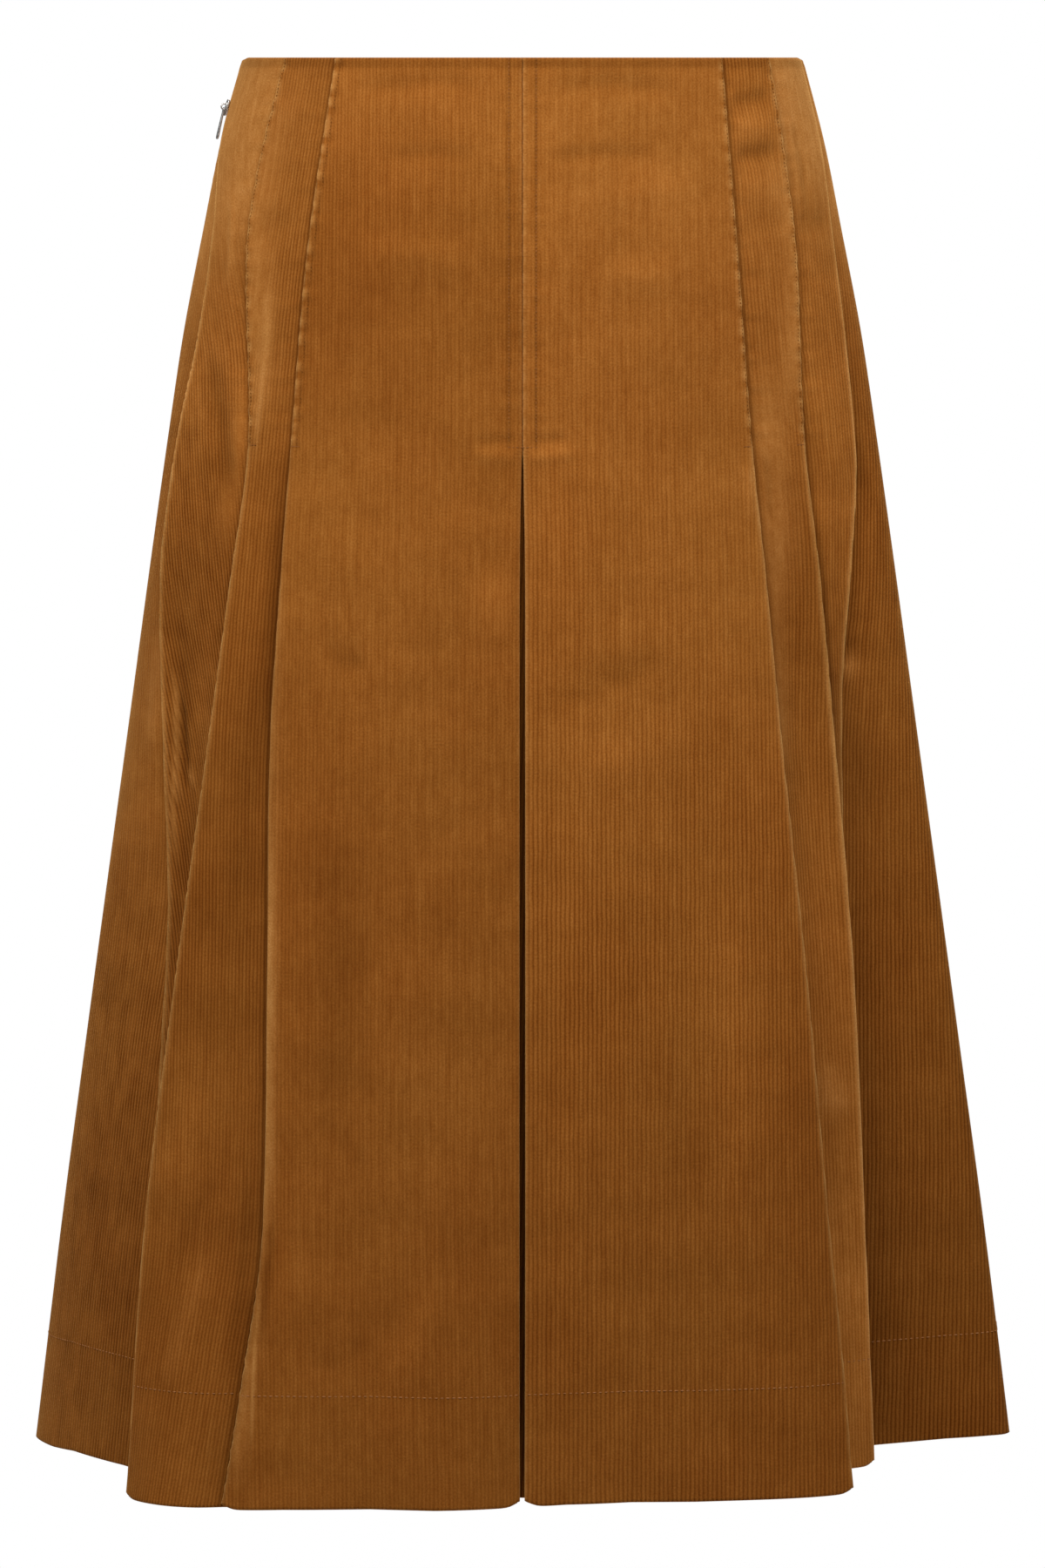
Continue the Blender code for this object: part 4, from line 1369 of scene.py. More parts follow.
# ---- The skirt ----
# Creases: height moves the cloth; light paints shade (below 0) or light along them, and
# painted_sheen paints a golden highlight
FACE_CREASES = {
    "front_left": (
        Crease(((-26, 182), (-12, 183), (4, 183.5)), 3.0, 0.75),
        Crease(((-24, 176), (-12, 177), (4, 177)), 2.6, -0.5),
        Crease(((-95, 270), (-82, 276), (-70, 277)), 3.6, -1.5),
        Crease(((-24, 238), (-11, 252), (-9, 268)), 10.0, 0.9, light=0.06),
        Crease(((-98, 484), (-84, 494), (-68, 510)), 3.0, -0.6, light=-0.05),
        Crease(((-104, 590), (-86, 592), (-64, 581)), 3.2, -0.9, light=-0.05),
        Crease(((-66, 604), (-50, 588), (-40, 556)), 7.0, 1.0),
        Crease(((-10, 14), (-40, 11), (-84, 15)), 4.5, -0.9),
        Crease(((-16, 46), (-42, 44), (-70, 47)), 4.0, -0.7),
        Crease(((-20, 92), (-50, 88), (-80, 92)), 8.0, 0.7),
        Crease(((-88, 330), (-84, 420), (-90, 520)), 14.0, -1.2),
        Crease(((-113, 205), (-115, 300), (-116, 400)), 3.5, 0.3, painted_sheen=0.14),
        Crease(((-116, 340), (-116.5, 420), (-117.5, 500), (-119, 560)), 3.0, 0.6,
               smooth=0.6, painted_sheen=0.5, light=0.08),
        Crease(((-119.5, 552), (-122.5, 585), (-124, 613), (-124.5, 640)), 0.8, 0.3,
               painted_sheen=0.5),
        Crease(((-114, 526), (-118, 556), (-121, 590)), 2.4, -0.8, light=-0.18),
        Crease(((-121, 560), (-126, 595), (-130, 625), (-134, 656)), 4.2, 0.9,
               smooth=0.9, painted_sheen=0.28),
    ),
    "front_right": (
        Crease(((-4, 183.5), (12, 183), (28, 181)), 3.0, 0.8),
        Crease(((-4, 177), (12, 176), (24, 175)), 2.6, -0.8),
        Crease(((-2, 302), (36, 288), (74, 273)), 4.5, -1.3),
        Crease(((20, 330), (50, 318), (88, 308)), 9.0, 0.8),
        Crease(((60, 470), (74, 500), (80, 540)), 12.0, -0.5),
        Crease(((6, 15), (40, 12), (80, 16)), 4.5, -0.9),
        Crease(((8, 47), (36, 44), (66, 46)), 4.0, -0.8),
        Crease(((30, 66), (60, 60), (86, 64)), 8.0, 0.7),
        Crease(((34, 96), (58, 100), (78, 94)), 7.0, 0.6),
        Crease(((92, 380), (98, 450), (104, 540)), 13.0, 1.0),
        Crease(((104, 186), (108, 200), (110, 216)), 4.0, 1.0, painted_sheen=0.15),
    ),
    "side_front_left": (
        Crease(((-136, 505), (-152, 532), (-168, 566)), 4.0, -0.8),
        Crease(((-140, 540), (-154, 572), (-166, 612)), 4.5, 0.9, painted_sheen=0.06),
        Crease(((-146, 470), (-160, 500), (-172, 530)), 8.0, 1.1),
        Crease(((-124, 500), (-128, 560), (-134, 620)), 4.0, -0.8, light=-0.08),
        Crease(((-118, 250), (-126, 330), (-134, 420)), 8.0, -0.9),
        Crease(((-96, 20), (-108, 24), (-118, 22)), 6.0, 0.5),
        Crease(((-106, 80), (-116, 76), (-126, 82)), 7.0, -0.5),
        Crease(((-103, 0), (-112, 25), (-120, 50), (-124, 80), (-123, 130), (-119, 176)),
               7.5, smooth=0.9, painted_sheen=0.16),
        Crease(((-117, 96), (-119, 130), (-122, 158), (-127, 192)), 2.4, 0.5, painted_sheen=0.3),
        Crease(((-110, 176), (-113, 215), (-118, 290), (-121, 340)), 4.2, light=-0.3),
    ),
    "side_front_right": (
        Crease(((94, 19), (104, 20), (118, 18)), 4.0, -1.5),
        Crease(((94, 31), (106, 32), (120, 31)), 5.0, 1.0),
        Crease(((97, 45), (108, 45), (122, 43)), 4.0, -1.6),
        Crease(((98, 57), (110, 58), (125, 57)), 6.0, 0.9),
        Crease(((100, 76), (112, 74), (126, 78)), 6.0, -0.7),
        Crease(((136, 470), (144, 482), (154, 494)), 8.0, 1.2, painted_sheen=0.1),
        Crease(((119, 24), (123, 50), (127, 90), (127, 140), (124, 182)), 5.5,
               smooth=0.8, painted_sheen=0.16),
        Crease(((112, 130), (114, 172), (117, 200), (118.5, 225), (119.5, 262)), 8.5,
               smooth=1.0, painted_sheen=0.16),
        Crease(((115, 205), (117, 240), (119, 270), (120.5, 312), (123, 345)), 4.2,
               smooth=0.95, painted_sheen=0.12),
        Crease(((113, 182), (115, 200), (116, 218)), 1.8, -0.5, light=-0.1),
    ),
    "side_left": (
        Crease(((-164, 347), (-157, 339), (-150, 330)), 1.5, 0.8, painted_sheen=0.25),
        Crease(((-164, 290), (-160, 306), (-158, 330), (-160, 350)), 1.6, -0.9, light=-0.35),
        Crease(((-167, 280), (-163, 300), (-163, 325), (-165, 350), (-163, 385)), 1.3, 0.6,
               smooth=0.9, painted_sheen=0.35),
        Crease(((-149, 130), (-144, 156), (-140, 180), (-136, 212)), 5.0, -1.2, light=-0.12),
        Crease(((-129, 140), (-131, 170), (-137, 205), (-143, 240)), 5.5, 0.3,
               smooth=0.9, light=-0.06),
        Crease(((-150, 230), (-148, 290), (-152, 340)), 9.0, 0.8),
        Crease(((-136, 60), (-136.5, 90), (-139, 112)), 1.6, 0.5, painted_sheen=0.16),
        Crease(((-160, 262), (-158, 300), (-162, 340)), 4.0, light=-0.25),
    ),
    "side_right": (
        Crease(((128, 72), (136, 78), (146, 76)), 5.0, -0.9),
        Crease(((142, 240), (146, 246), (152, 250)), 5.0, -0.6),
        Crease(((129, 150), (134, 180), (137, 214)), 5.0, light=-0.16),
        Crease(((118, 20), (124, 45), (128, 66)), 1.6, -0.4, light=-0.06),
        Crease(((126, 24), (131, 50), (134, 74)), 1.8, -0.4, light=-0.08),
    ),
    "back_left": (
        Crease(((-168, 262), (-172, 290), (-176, 330)), 3.5, 0.8, painted_sheen=0.16),
        Crease(((-150, 300), (-168, 318), (-182, 322)), 7.0, 0.9),
        Crease(((-92, 2), (-84, 60), (-78, 118)), 1.3, -0.7, Seen.REAR),
        Crease(((-70, 150), (-40, 158), (-12, 154)), 9.0, 0.9, Seen.REAR),
        Crease(((-120, 240), (-96, 262), (-84, 300)), 10.0, -1.3, Seen.REAR),
        Crease(((-20, 330), (-26, 400), (-18, 480)), 14.0, -1.2, Seen.REAR),
        Crease(((-140, 470), (-128, 520), (-134, 580)), 12.0, 1.2, Seen.REAR),
    ),
    "back_right": (
        Crease(((146, 277), (152, 285), (161, 294)), 4.0, 1.6, painted_sheen=0.16),
        Crease(((145, 268), (152, 274), (162, 280)), 4.0, -0.8, light=-0.1),
        Crease(((152, 168), (156, 185), (158, 208)), 4.5, light=-0.28),
        Crease(((150, 300), (160, 330), (166, 370)), 10.0, -1.2),
        Crease(((92, 2), (85, 60), (79, 112)), 1.3, -0.7, Seen.REAR),
        Crease(((14, 172), (44, 164), (74, 170)), 8.0, -0.8, Seen.REAR),
        Crease(((60, 300), (86, 330), (100, 380)), 12.0, 1.2, Seen.REAR),
        Crease(((120, 430), (112, 480), (118, 545)), 11.0, -1.3, Seen.REAR),
        Crease(((20, 520), (34, 560), (30, 610)), 11.0, 1.0, Seen.REAR),
    ),
}
# How pale each folded edge is painted, for wear and as a painted highlight
FOLD_WEAR_AND_SHEEN = {
    ("front", Hand.LEFT): {Edge.END: 0.3, Edge.START: 0.4},
    ("front", Hand.RIGHT): {Edge.START: 0.8, Edge.END: 0.85},
    ("side_front", Hand.LEFT): {Edge.START: 0.85}, ("side_front", Hand.RIGHT): {Edge.END: 0.9}
}
WALES = {
    "front_left": 1.82, "front_right": 2.1, "centre_underlay": CLOTH.wale,
    "side_front_left": 1.72, "side_front_right": 1.9, "side_left": 2.15, "side_right": 1.95,
    "back_left": 2.2, "back_right": 2.05
}
HEM_DIPS = {
    "front_left": ((-142, 3.2), (-110, 2.4), (-70, 2.6), (-40, 4.0), (0, 4.3)),
    "front_right": ((0, 4.2), (20, 2.8), (50, 2.2), (80, 3.2), (135, 3.8)),
    "side_front_left": ((-190, 4.6), (-150, 4.2), (-130, 3.6)),
    "side_front_right": ((140, 3.8), (162, 4.4)),
    "side_left": ((-180, 3.6), (-150, 3.6)),
    "side_right": ((150, 3.6), (180, 3.0)),
    "back_left": ((-226, 4.2), (-215, 2.6), (-190, 2.8), (-180, 3.4), (0, 3.4)),
    "back_right": ((0, 3.4), (120, 3.6), (160, 3.0), (187, 1.2), (203, 0.0), (225, -0.8)),
}
# Per piece down from the waist: tone paints it lighter or darker as light and shade, painted_sheen
# paints a golden highlight, ribs is how clear its wales are
NAP_AND_PAINT = {
    "front_left": table(
        NapRow, (0, 0.95, 0.02, 0.5), (40, 0.93, 0.02, 0.55), (78, 0.8, 0.0, 0.55),
        (133, 0.82, 0.0, 0.5), (200, 0.87, 0.0, 0.45), (330, 0.86, 0.0, 0.5),
        (500, 0.92, 0.0, 0.5), (660, 0.86, 0.0, 0.5)),
    "front_right": table(
        NapRow, (0, 0.94, 0.03, 0.35), (120, 0.94, 0.02, 0.45), (260, 1.0, 0.0, 0.7),
        (400, 1.02, 0.0, 0.95), (520, 0.95, 0.0, 0.8), (660, 0.92, 0.0, 0.8)),
    # Painted shade: the strip deep behind the centre gap is painted at half brightness
    "centre_underlay": table(NapRow, (0, 0.5, 0.0, 1.0), (660, 0.5, 0.0, 1.0)),
    "side_front_left": table(
        NapRow, (0, 0.92, 0.04, 0.9), (93, 0.9, 0.03, 1.2), (160, 0.9, 0.02, 1.0),
        (253, 0.88, 0.0, 0.9), (333, 0.82, 0.0, 0.95), (412, 0.84, 0.0, 0.95),
        (500, 0.92, 0.0, 0.8), (660, 0.96, 0.0, 0.8)),
    "side_front_right": table(
        NapRow, (0, 1.04, 0.0, 0.9), (53, 1.0, 0.05, 0.8), (160, 0.92, 0.03, 0.8),
        (270, 0.86, 0.0, 1.0), (333, 1.0, 0.0, 1.0), (412, 1.26, 0.0, 0.8), (492, 1.25, 0.0, 0.8),
        (580, 1.55, 0.0, 0.7), (660, 1.3, 0.0, 0.7)),
    "side_left": table(
        NapRow, (0, 0.93, 0.3, 0.1), (60, 0.93, 0.27, 0.1), (105, 0.84, 0.08, 0.5),
        (150, 1.1, 0.02, 1.1), (200, 0.95, 0.0, 1.3), (253, 0.8, 0.0, 1.4), (300, 0.9, 0.0, 1.4),
        (400, 0.82, 0.0, 1.4), (660, 0.9, 0.0, 1.2)),
    "side_right": table(
        NapRow, (0, 1.0, 0.42, 0.1), (45, 1.0, 0.33, 0.12), (72, 0.9, 0.1, 0.4),
        (110, 1.0, 0.03, 0.9), (190, 1.08, 0.0, 0.8), (300, 0.88, 0.0, 0.9), (660, 0.9, 0.0, 0.9)),
    "back_left": table(
        NapRow, (0, 1.0, 0.26, 0.1), (70, 1.0, 0.23, 0.15), (130, 0.92, 0.04, 0.9),
        (200, 0.9, 0.0, 1.2), (300, 0.95, 0.0, 0.5), (350, 1.0, 0.0, 0.5), (450, 0.98, 0.0, 1.3),
        (660, 0.95, 0.0, 1.2)),
    "back_right": table(
        NapRow, (0, 1.0, 0.38, 0.1), (60, 1.0, 0.3, 0.15), (100, 0.94, 0.08, 0.8),
        (190, 0.86, 0.0, 1.1), (330, 0.92, 0.0, 1.1), (480, 0.94, 0.0, 1.1), (660, 0.8, 0.0, 1.1)),
}
# How pale each lip's edge is painted, for wear and as a painted highlight
LIP_WEAR_AND_SHEEN = {Hand.LEFT: 0.75, Hand.RIGHT: 0.85}
# From each stitched pleat's folded edge to its line of stitches
STITCH_INSET = {
    ("front", Hand.LEFT): 4.0, ("front", Hand.RIGHT): 1.7, ("side_front", Hand.LEFT): 2.0,
    ("side_front", Hand.RIGHT): 2.2
}
SIDE_SKEW = {
    Hand.LEFT: table(
        SkewRow, (0, 0), (80, 0), (110, -8), (149, -25), (170, -34), (220, -50), (300, -68),
        (400, -91), (660, -148)),
    Hand.RIGHT: table(SkewRow, (0, 0), (175, 0), (200, -2), (300, -14), (660, -30)),
}
SIDE_FRONT_SKEW = {
    Hand.LEFT: table(SkewRow, (0, 0), (660, 0)),
    Hand.RIGHT: table(SkewRow, (0, 0), (230, 0), (290, 3), (400, 12), (660, 26)),
}
BACK_SKEW = {
    Hand.LEFT: table(SkewRow, (0, 0), (320, 4), (480, 22), (660, 44)),
    Hand.RIGHT: table(SkewRow, (0, 0), (300, 0), (480, 12), (660, 26)),
}
PLEAT_PUCKER = {
    ("front", Hand.LEFT): 0.5, ("front", Hand.RIGHT): 0.18, ("side_front", Hand.LEFT): 0.4,
    ("side_front", Hand.RIGHT): 0.36
}


def spaced(first: float, last: float, step: float) -> list[float]:
    """Drops from the first to just before the last, about a step apart."""
    count = max(1, round((last - first) / step))
    return [first + (last - first) * i / count for i in range(count)]


def row_drops(sewn_step: float, free_step: float) -> list[float]:
    """The drops of a piece's rows, closer where it is sewn and at its hem's step."""
    hem = CLOTH.length - CLOTH.hem
    drops = spaced(0.5, 2.9, 1.2) + spaced(2.9, 5.3, 0.8)
    drops += spaced(5.3, CLOTH.stitched + 14, sewn_step)
    drops += spaced(CLOTH.stitched + 14, hem - 0.6, free_step)
    drops += [hem - 0.6] + spaced(hem + 0.6, CLOTH.length - 1.8, free_step)
    return drops + [CLOTH.length - 1.8, CLOTH.length - 0.5]


@dataclass
class CorduroyPieces:
    """All the cloth of the skirt, as one shell for each cut piece."""

    finishes: Finishes
    sewn_step: float = 2.0
    free_step: float = 7.5
    back_sewn_step: float = 6.5
    back_free_step: float = 10.0
    panels: dict[str, Panel] = field(default_factory=dict)

    @staticmethod
    def _run(part: str, hand: Hand) -> Callable[[float], Run]:
        """Gives the line of one half's panel at a drop."""
        if part == "back":
            return lambda drop: back_run(hand, drop)
        return lambda drop: getattr(half_section(hand, drop), part).placed(hand)

    def cut(self) -> None:
        """Sets out every panel with its grain, folds, sewing and creases."""
        drops = row_drops(self.sewn_step, self.free_step)
        end = CLOTH.stitched
        self.panels["centre_underlay"] = Panel(
            "corduroy_centre_underlay", "centre_underlay", underlay_run,
            row_drops(9.0, 12.0), Edge.START, nap=NAP_AND_PAINT["centre_underlay"])
        for hand in Hand:
            right = hand is Hand.RIGHT
            inner, outer = (Edge.START, Edge.END) if right else (Edge.END, Edge.START)
            centre_line = SewnLine(inner, 6.2 - CLOTH.fold_reach, 0, end - 1, 0.42, 0.24, 6)
            covered_line = SewnLine(inner, 2.0, 0, end, 0.0, 0.4 if right else 0.3, 10)
            pleat_line = {part: SewnLine(outer, STITCH_INSET[part, hand] - CLOTH.fold_reach, 0,
                                         end, 0.26, PLEAT_PUCKER[part, hand], 3.4)
                          for part in ("front", "side_front")}
            self.add("front", hand, drops, inner, 0.4, butted=inner,
                     folds=FOLD_WEAR_AND_SHEEN["front", hand], sewn=(centre_line, pleat_line["front"]))
            self.add("side_front", hand, drops, inner, 2.1, skew=SIDE_FRONT_SKEW[hand],
                     folds=FOLD_WEAR_AND_SHEEN["side_front", hand], covered=(inner,),
                     sewn=(pleat_line["side_front"], covered_line))
            self.add("side", hand, drops, outer, 3.3, skew=SIDE_SKEW[hand],
                     lips={outer: LIP_WEAR_AND_SHEEN[hand]}, covered=(inner,), seamed=(inner,),
                     sewn=(covered_line,))
            self.add("back", hand, row_drops(self.back_sewn_step, self.back_free_step), inner,
                     5.2, skew=BACK_SKEW[hand], nap_reach=60.0, rim=0.32 if right else 0.0,
                     seamed=(), sewn=(SewnLine(outer, 1.0, 0, CLOTH.length, 0.0, 0.16, 6),))

    def add(self, part: str, hand: Hand, drops: Sequence[float], grain_edge: Edge,
            phase: float, **details: object) -> None:
        """Sets out one half's panel with the creases, pile and painted shading that its tables
        give.

        Args:
            part: What the panel is, without its side.
            hand: The half that it is in.
            drops: The drops of its rows.
            grain_edge: The end that its wales are counted from.
            phase: Where its ripples start, before the half's own shift.
            **details: Its other fields.
        """
        node = f"{part}_{hand.name.lower()}"
        self.panels[node] = Panel(f"corduroy_{node}", node, self._run(part, hand), drops,
                                  grain_edge, creases=FACE_CREASES[node], nap=NAP_AND_PAINT[node],
                                  wale=WALES[node], hem_dip=HEM_DIPS[node],
                                  phase=phase + hand.value, **details)

    def sew(self) -> None:
        """Builds each shell, hangs it in the frame and logs the size of its cut."""
        for node, panel in self.panels.items():
            piece = panel.build(self.finishes)
            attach(piece, CLOTH_BODY)
            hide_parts(node)
            flat, area = panel.flat_cut()
            LOG.info("%s: %d faces, cut %.3f by %.3f m, %.4f square metres", piece.name,
                     len(piece.data.polygons), *flat, area)


@dataclass
class Sewing:
    """Topstitching, pleat stitching, bar tacks and the hem, as real stitches."""

    finishes: Finishes
    panels: dict[str, Panel]
    top_pitch: float = 1.75
    top_length: float = 1.15
    top_radius: float = 0.19
    hem_pitch: float = 2.7
    hem_length: float = 1.7
    hem_radius: float = 0.26
    tack_length: float = 3.2
    lift: float = 0.02
    path_step: float = 2.4

    def _face(self) -> float:
        """Height of a stitch's middle over the middle of the wall."""
        return CLOTH.wall / 2 + self.lift

    def _down(self, panel: Panel, line: SewnLine) -> np.ndarray:
        """A path of stitches down one sewn line."""
        count = int((line.bottom - line.top) / self.path_step)
        drops = [line.top + 0.8 + self.path_step * i for i in range(count)]
        return panel.edge_path(line.edge, line.inset, drops, self._face())

    def _across(self, name: str, edge: Edge, drop: float, insets: np.ndarray) -> np.ndarray:
        """A path of stitches across a panel, at distances in from an end of what shows."""
        panel = self.panels[name]
        first, last = panel.row(drop).shown
        along = first + insets if edge is Edge.START else last - insets
        return panel.surface(drop, along, self._face())

    def centre_paths(self) -> list[np.ndarray]:
        """To either side of the centre seam and across the end of its stitched box."""
        paths = []
        for name in ("front_left", "front_right"):
            line = self.panels[name].sewn[0]
            paths.append(self._down(self.panels[name], line))
            paths.append(self._across(name, line.edge, CLOTH.stitched - 1,
                                      np.linspace(line.inset, -0.8, 6)))
        return paths

    def pleat_paths(self) -> list[np.ndarray]:
        """Along the folded edges of the stitched-down pleats."""
        lines = (("front_left", 1), ("front_right", 1), ("side_front_left", 0),
                 ("side_front_right", 0))
        return [self._down(self.panels[name], self.panels[name].sewn[i]) for name, i in lines]

    def tack_paths(self) -> list[np.ndarray]:
        """Bar tacks across the ends of the stitched pleats."""
        insets = np.linspace(0.2, self.tack_length, 8)
        return [self._across(f"{part}_{half}", edge, CLOTH.stitched, insets)
                for part in ("front", "side_front")
                for half, edge in (("left", Edge.START), ("right", Edge.END))]

    def hem_paths(self) -> list[np.ndarray]:
        """Round the top of the turned-up hem, on what shows of every panel."""
        drop = CLOTH.length - CLOTH.hem + 0.2
        paths = []
        for name, panel in self.panels.items():
            if name == "centre_underlay":
                continue
            row = panel.row(drop)
            first, last = row.shown
            first += 4.0 if Edge.START in panel.covered else 0.6
            last -= 4.0 if Edge.END in panel.covered else 0.6
            count = max(8, int((last - first) / 2.0))
            paths.append(panel.surface(drop, np.linspace(first, last, count), self._face()))
        return paths

    def sew(self) -> None:
        """Sets the stitches along their paths."""
        tree = beads_tree("stitches along a path", across=False)
        jobs = (("topstitching", self.centre_paths(), self.top_pitch, self.top_length,
                 self.top_radius, self.finishes.centre_thread, 3),
                ("pleat_stitching", self.pleat_paths(), self.top_pitch, self.top_length * 0.7,
                 self.top_radius, self.finishes.thread, 4),
                ("hem_stitching", self.hem_paths(), self.hem_pitch, self.hem_length,
                 self.hem_radius, self.finishes.hem_thread, 5),
                ("bar_tacks", self.tack_paths(), 0.45, 1.1, 0.17,
                 self.finishes.centre_thread, 7))
        for name, paths, pitch, length, radius, material, seed in jobs:
            piece = path_object(name, paths)
            grown(piece, tree, Pitch=pitch * MM, Length=length * MM, Radius=radius * MM,
                  Unevenness=0.16, Seed=seed, Material=material)
            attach(piece, CLOTH_BODY)
            LOG.info("%s: %d faces", name, len(piece.data.polygons))


def arc(centre: tuple[float, float], radii: tuple[float, float], first: float, last: float,
        count: int) -> list[tuple[float, float]]:
    """Points round part of an ellipse, between two angles in degrees."""
    return [(centre[0] + radii[0] * math.cos(angle), centre[1] + radii[1] * math.sin(angle))
            for angle in np.radians(np.linspace(first, last, count)).tolist()]


def curve_mesh(name: str, paths: Sequence[Sequence[Sequence[float]]], closed: bool,
               **settings: object) -> bpy.types.Mesh:
    """Makes a mesh from a curve.

    Args:
        name: The mesh's name.
        paths: The curve's corners in millimetres, path by path.
        closed: Whether each path comes back to its first corner.
        **settings: The curve's own settings.

    Returns:
        The mesh, in metres.
    """
    curve = bpy.data.curves.new(name, "CURVE")
    for setting, value in settings.items():
        setattr(curve, setting, value)
    for path in paths:
        spline = curve.splines.new("POLY")
        spline.points.add(len(path) - 1)
        spline.use_cyclic_u = closed
        for point, place in zip(spline.points, path):
            point.co = (*(Vector(place).to_3d() * MM), 1)
    holder = put(name, curve)
    data = plain_mesh(holder)
    bpy.data.objects.remove(holder)
    return data


@dataclass
class SideZip:
    """The zip in the left side seam: tape, coil, slider and swinging pull."""

    finishes: Finishes
    length: float = 180.0
    tape_width: float = 18.0
    tape_thick: float = 0.9
    slider_drop: float = 24.0
    plate: tuple[float, float, float] = (4.4, 8.0, 0.9)
    bail_radius: float = 1.4
    bail_wire: float = 0.35
    bail_leg: float = 0.75
    pull_length: float = 15.8
    pull_thick: float = 0.8
    pull_width: float = 3.8
    pull_neck: float = 1.9
    pull_shoulder: float = 0.6
    eye_radius: float = 0.7
    eye_band: float = 0.5
    rest_angle: float = math.radians(2.5)
    tooth_pitch: float = 1.5

    def seam_frame(self) -> tuple[Vector, Matrix]:
        """The slider's place on the seam, in millimetres, and its axes across, up and off."""
        def edge(at: float) -> tuple[Vector, Vector]:
            """The side panel's edge at a drop, and the way its line runs there."""
            points = half_section(Hand.LEFT, at).side.points
            along = points[-1] - points[-2]
            return (Vector((-points[-1][0], -points[-1][1], -at)),
                    Vector((-along[0], -along[1], 0)).normalized())
        place, across = edge(self.slider_drop)
        up = (edge(self.slider_drop - 2)[0] - edge(self.slider_drop + 2)[0]).normalized()
        off = up.cross(across).normalized()
        if off.x > 0:
            off.negate()
        across = up.cross(off).normalized()
        return place, Matrix((across, up, off)).transposed().to_4x4()

    @staticmethod
    def _behind(drops: np.ndarray, across: np.ndarray, inset: float) -> np.ndarray:
        """Points row by row behind the left back panel's seam edge, in metres."""
        rows = []
        for drop in drops.tolist():
            line = Line(back_run(Hand.LEFT, drop).points)
            points = line.beside(across, np.full(across.shape, -inset))
            rows.append(np.column_stack((points, np.full(len(points), -drop))))
        return np.vstack(rows) * MM

    def tape(self) -> bpy.types.Object:
        """The closed tape, flat behind the left back panel's part of the seam."""
        drops = np.linspace(3.2, self.length, 61)
        across = np.linspace(0, self.tape_width, 13)
        places = self._behind(drops, across,
                              CLOTH.wall / 2 + CLOTH.fold_gap + self.tape_thick / 2)
        count = len(across)
        corners = [r * count + c for r in range(len(drops) - 1) for c in range(count - 1)]
        faces = [(i, i + count, i + count + 1, i + 1) for i in corners]
        data = bpy.data.meshes.new("zip_tape_woven")
        data.from_pydata(places.tolist(), [], faces)
        data.materials.append(self.finishes.tape)
        data.shade_smooth()
        tape = put("zip_tape_woven", data)
        wall = tape.modifiers.new("tape", "SOLIDIFY")
        wall.thickness = self.tape_thick * 0.7 * MM
        wall.offset = 0
        return tape

    def coil(self) -> bpy.types.Object:
        """The coil of teeth along the tape's seam edge, on its inner side."""
        inset = CLOTH.wall / 2 + CLOTH.fold_gap + self.tape_thick + 0.75
        path = self._behind(np.linspace(3.0, self.length - 4, 90), np.array([4.0]), inset)
        piece = path_object("zip_coil", [path])
        tree = beads_tree("coil along a path", across=True)
        return grown(piece, tree, Pitch=self.tooth_pitch * MM, Length=3.4 * MM,
                     Radius=0.55 * MM, Unevenness=0.0, Seed=1, Material=self.finishes.coil)

    def _solid(self, name: str, outline: Sequence[tuple[float, float]],
               holes: Sequence[Sequence[tuple[float, float]]], thick: float,
               rounding: float) -> bpy.types.Mesh:
        """A flat shape with rounded edges, in metres, in the plane of its outline."""
        return curve_mesh(name, (outline, *holes), True, dimensions="2D", fill_mode="BOTH",
                          extrude=(thick / 2 - rounding) * MM, bevel_depth=rounding * MM,
                          bevel_resolution=3, offset=-rounding * MM)

    def _finished(self, name: str, meshes: Sequence[tuple[bpy.types.Mesh, Matrix]]
                  ) -> bpy.types.Object:
        """Joins meshes, each in its place, into one welded metal object."""
        joined = bmesh.new()
        for data, place in meshes:
            data.transform(place)
            joined.from_mesh(data)
        bmesh.ops.remove_doubles(joined, verts=joined.verts, dist=1e-6)
        bmesh.ops.recalc_face_normals(joined, faces=joined.faces)
        data = bpy.data.meshes.new(name)
        joined.to_mesh(data)
        joined.free()
        data.materials.clear()
        data.materials.append(self.finishes.metal)
        data.shade_smooth()
        data.set_sharp_from_angle(angle=math.radians(40))
        return put(name, data)

    def bail(self) -> bpy.types.Mesh:
        """The slider's half ring on its two legs, over the hinge axis."""
        sunk = self.plate[2] / 2
        r, leg = self.bail_radius, self.bail_leg
        ring = [(0, y, z) for y, z in arc((0, 0), (r, r), 0, 180, 17)]
        path = [(0, r, -leg - sunk), (0, r, -leg / 2), *ring,
                (0, -r, -leg / 2), (0, -r, -leg - sunk)]
        return curve_mesh("bail", (path,), False, dimensions="3D", use_fill_caps=True,
                          bevel_depth=self.bail_wire * MM, bevel_resolution=4)

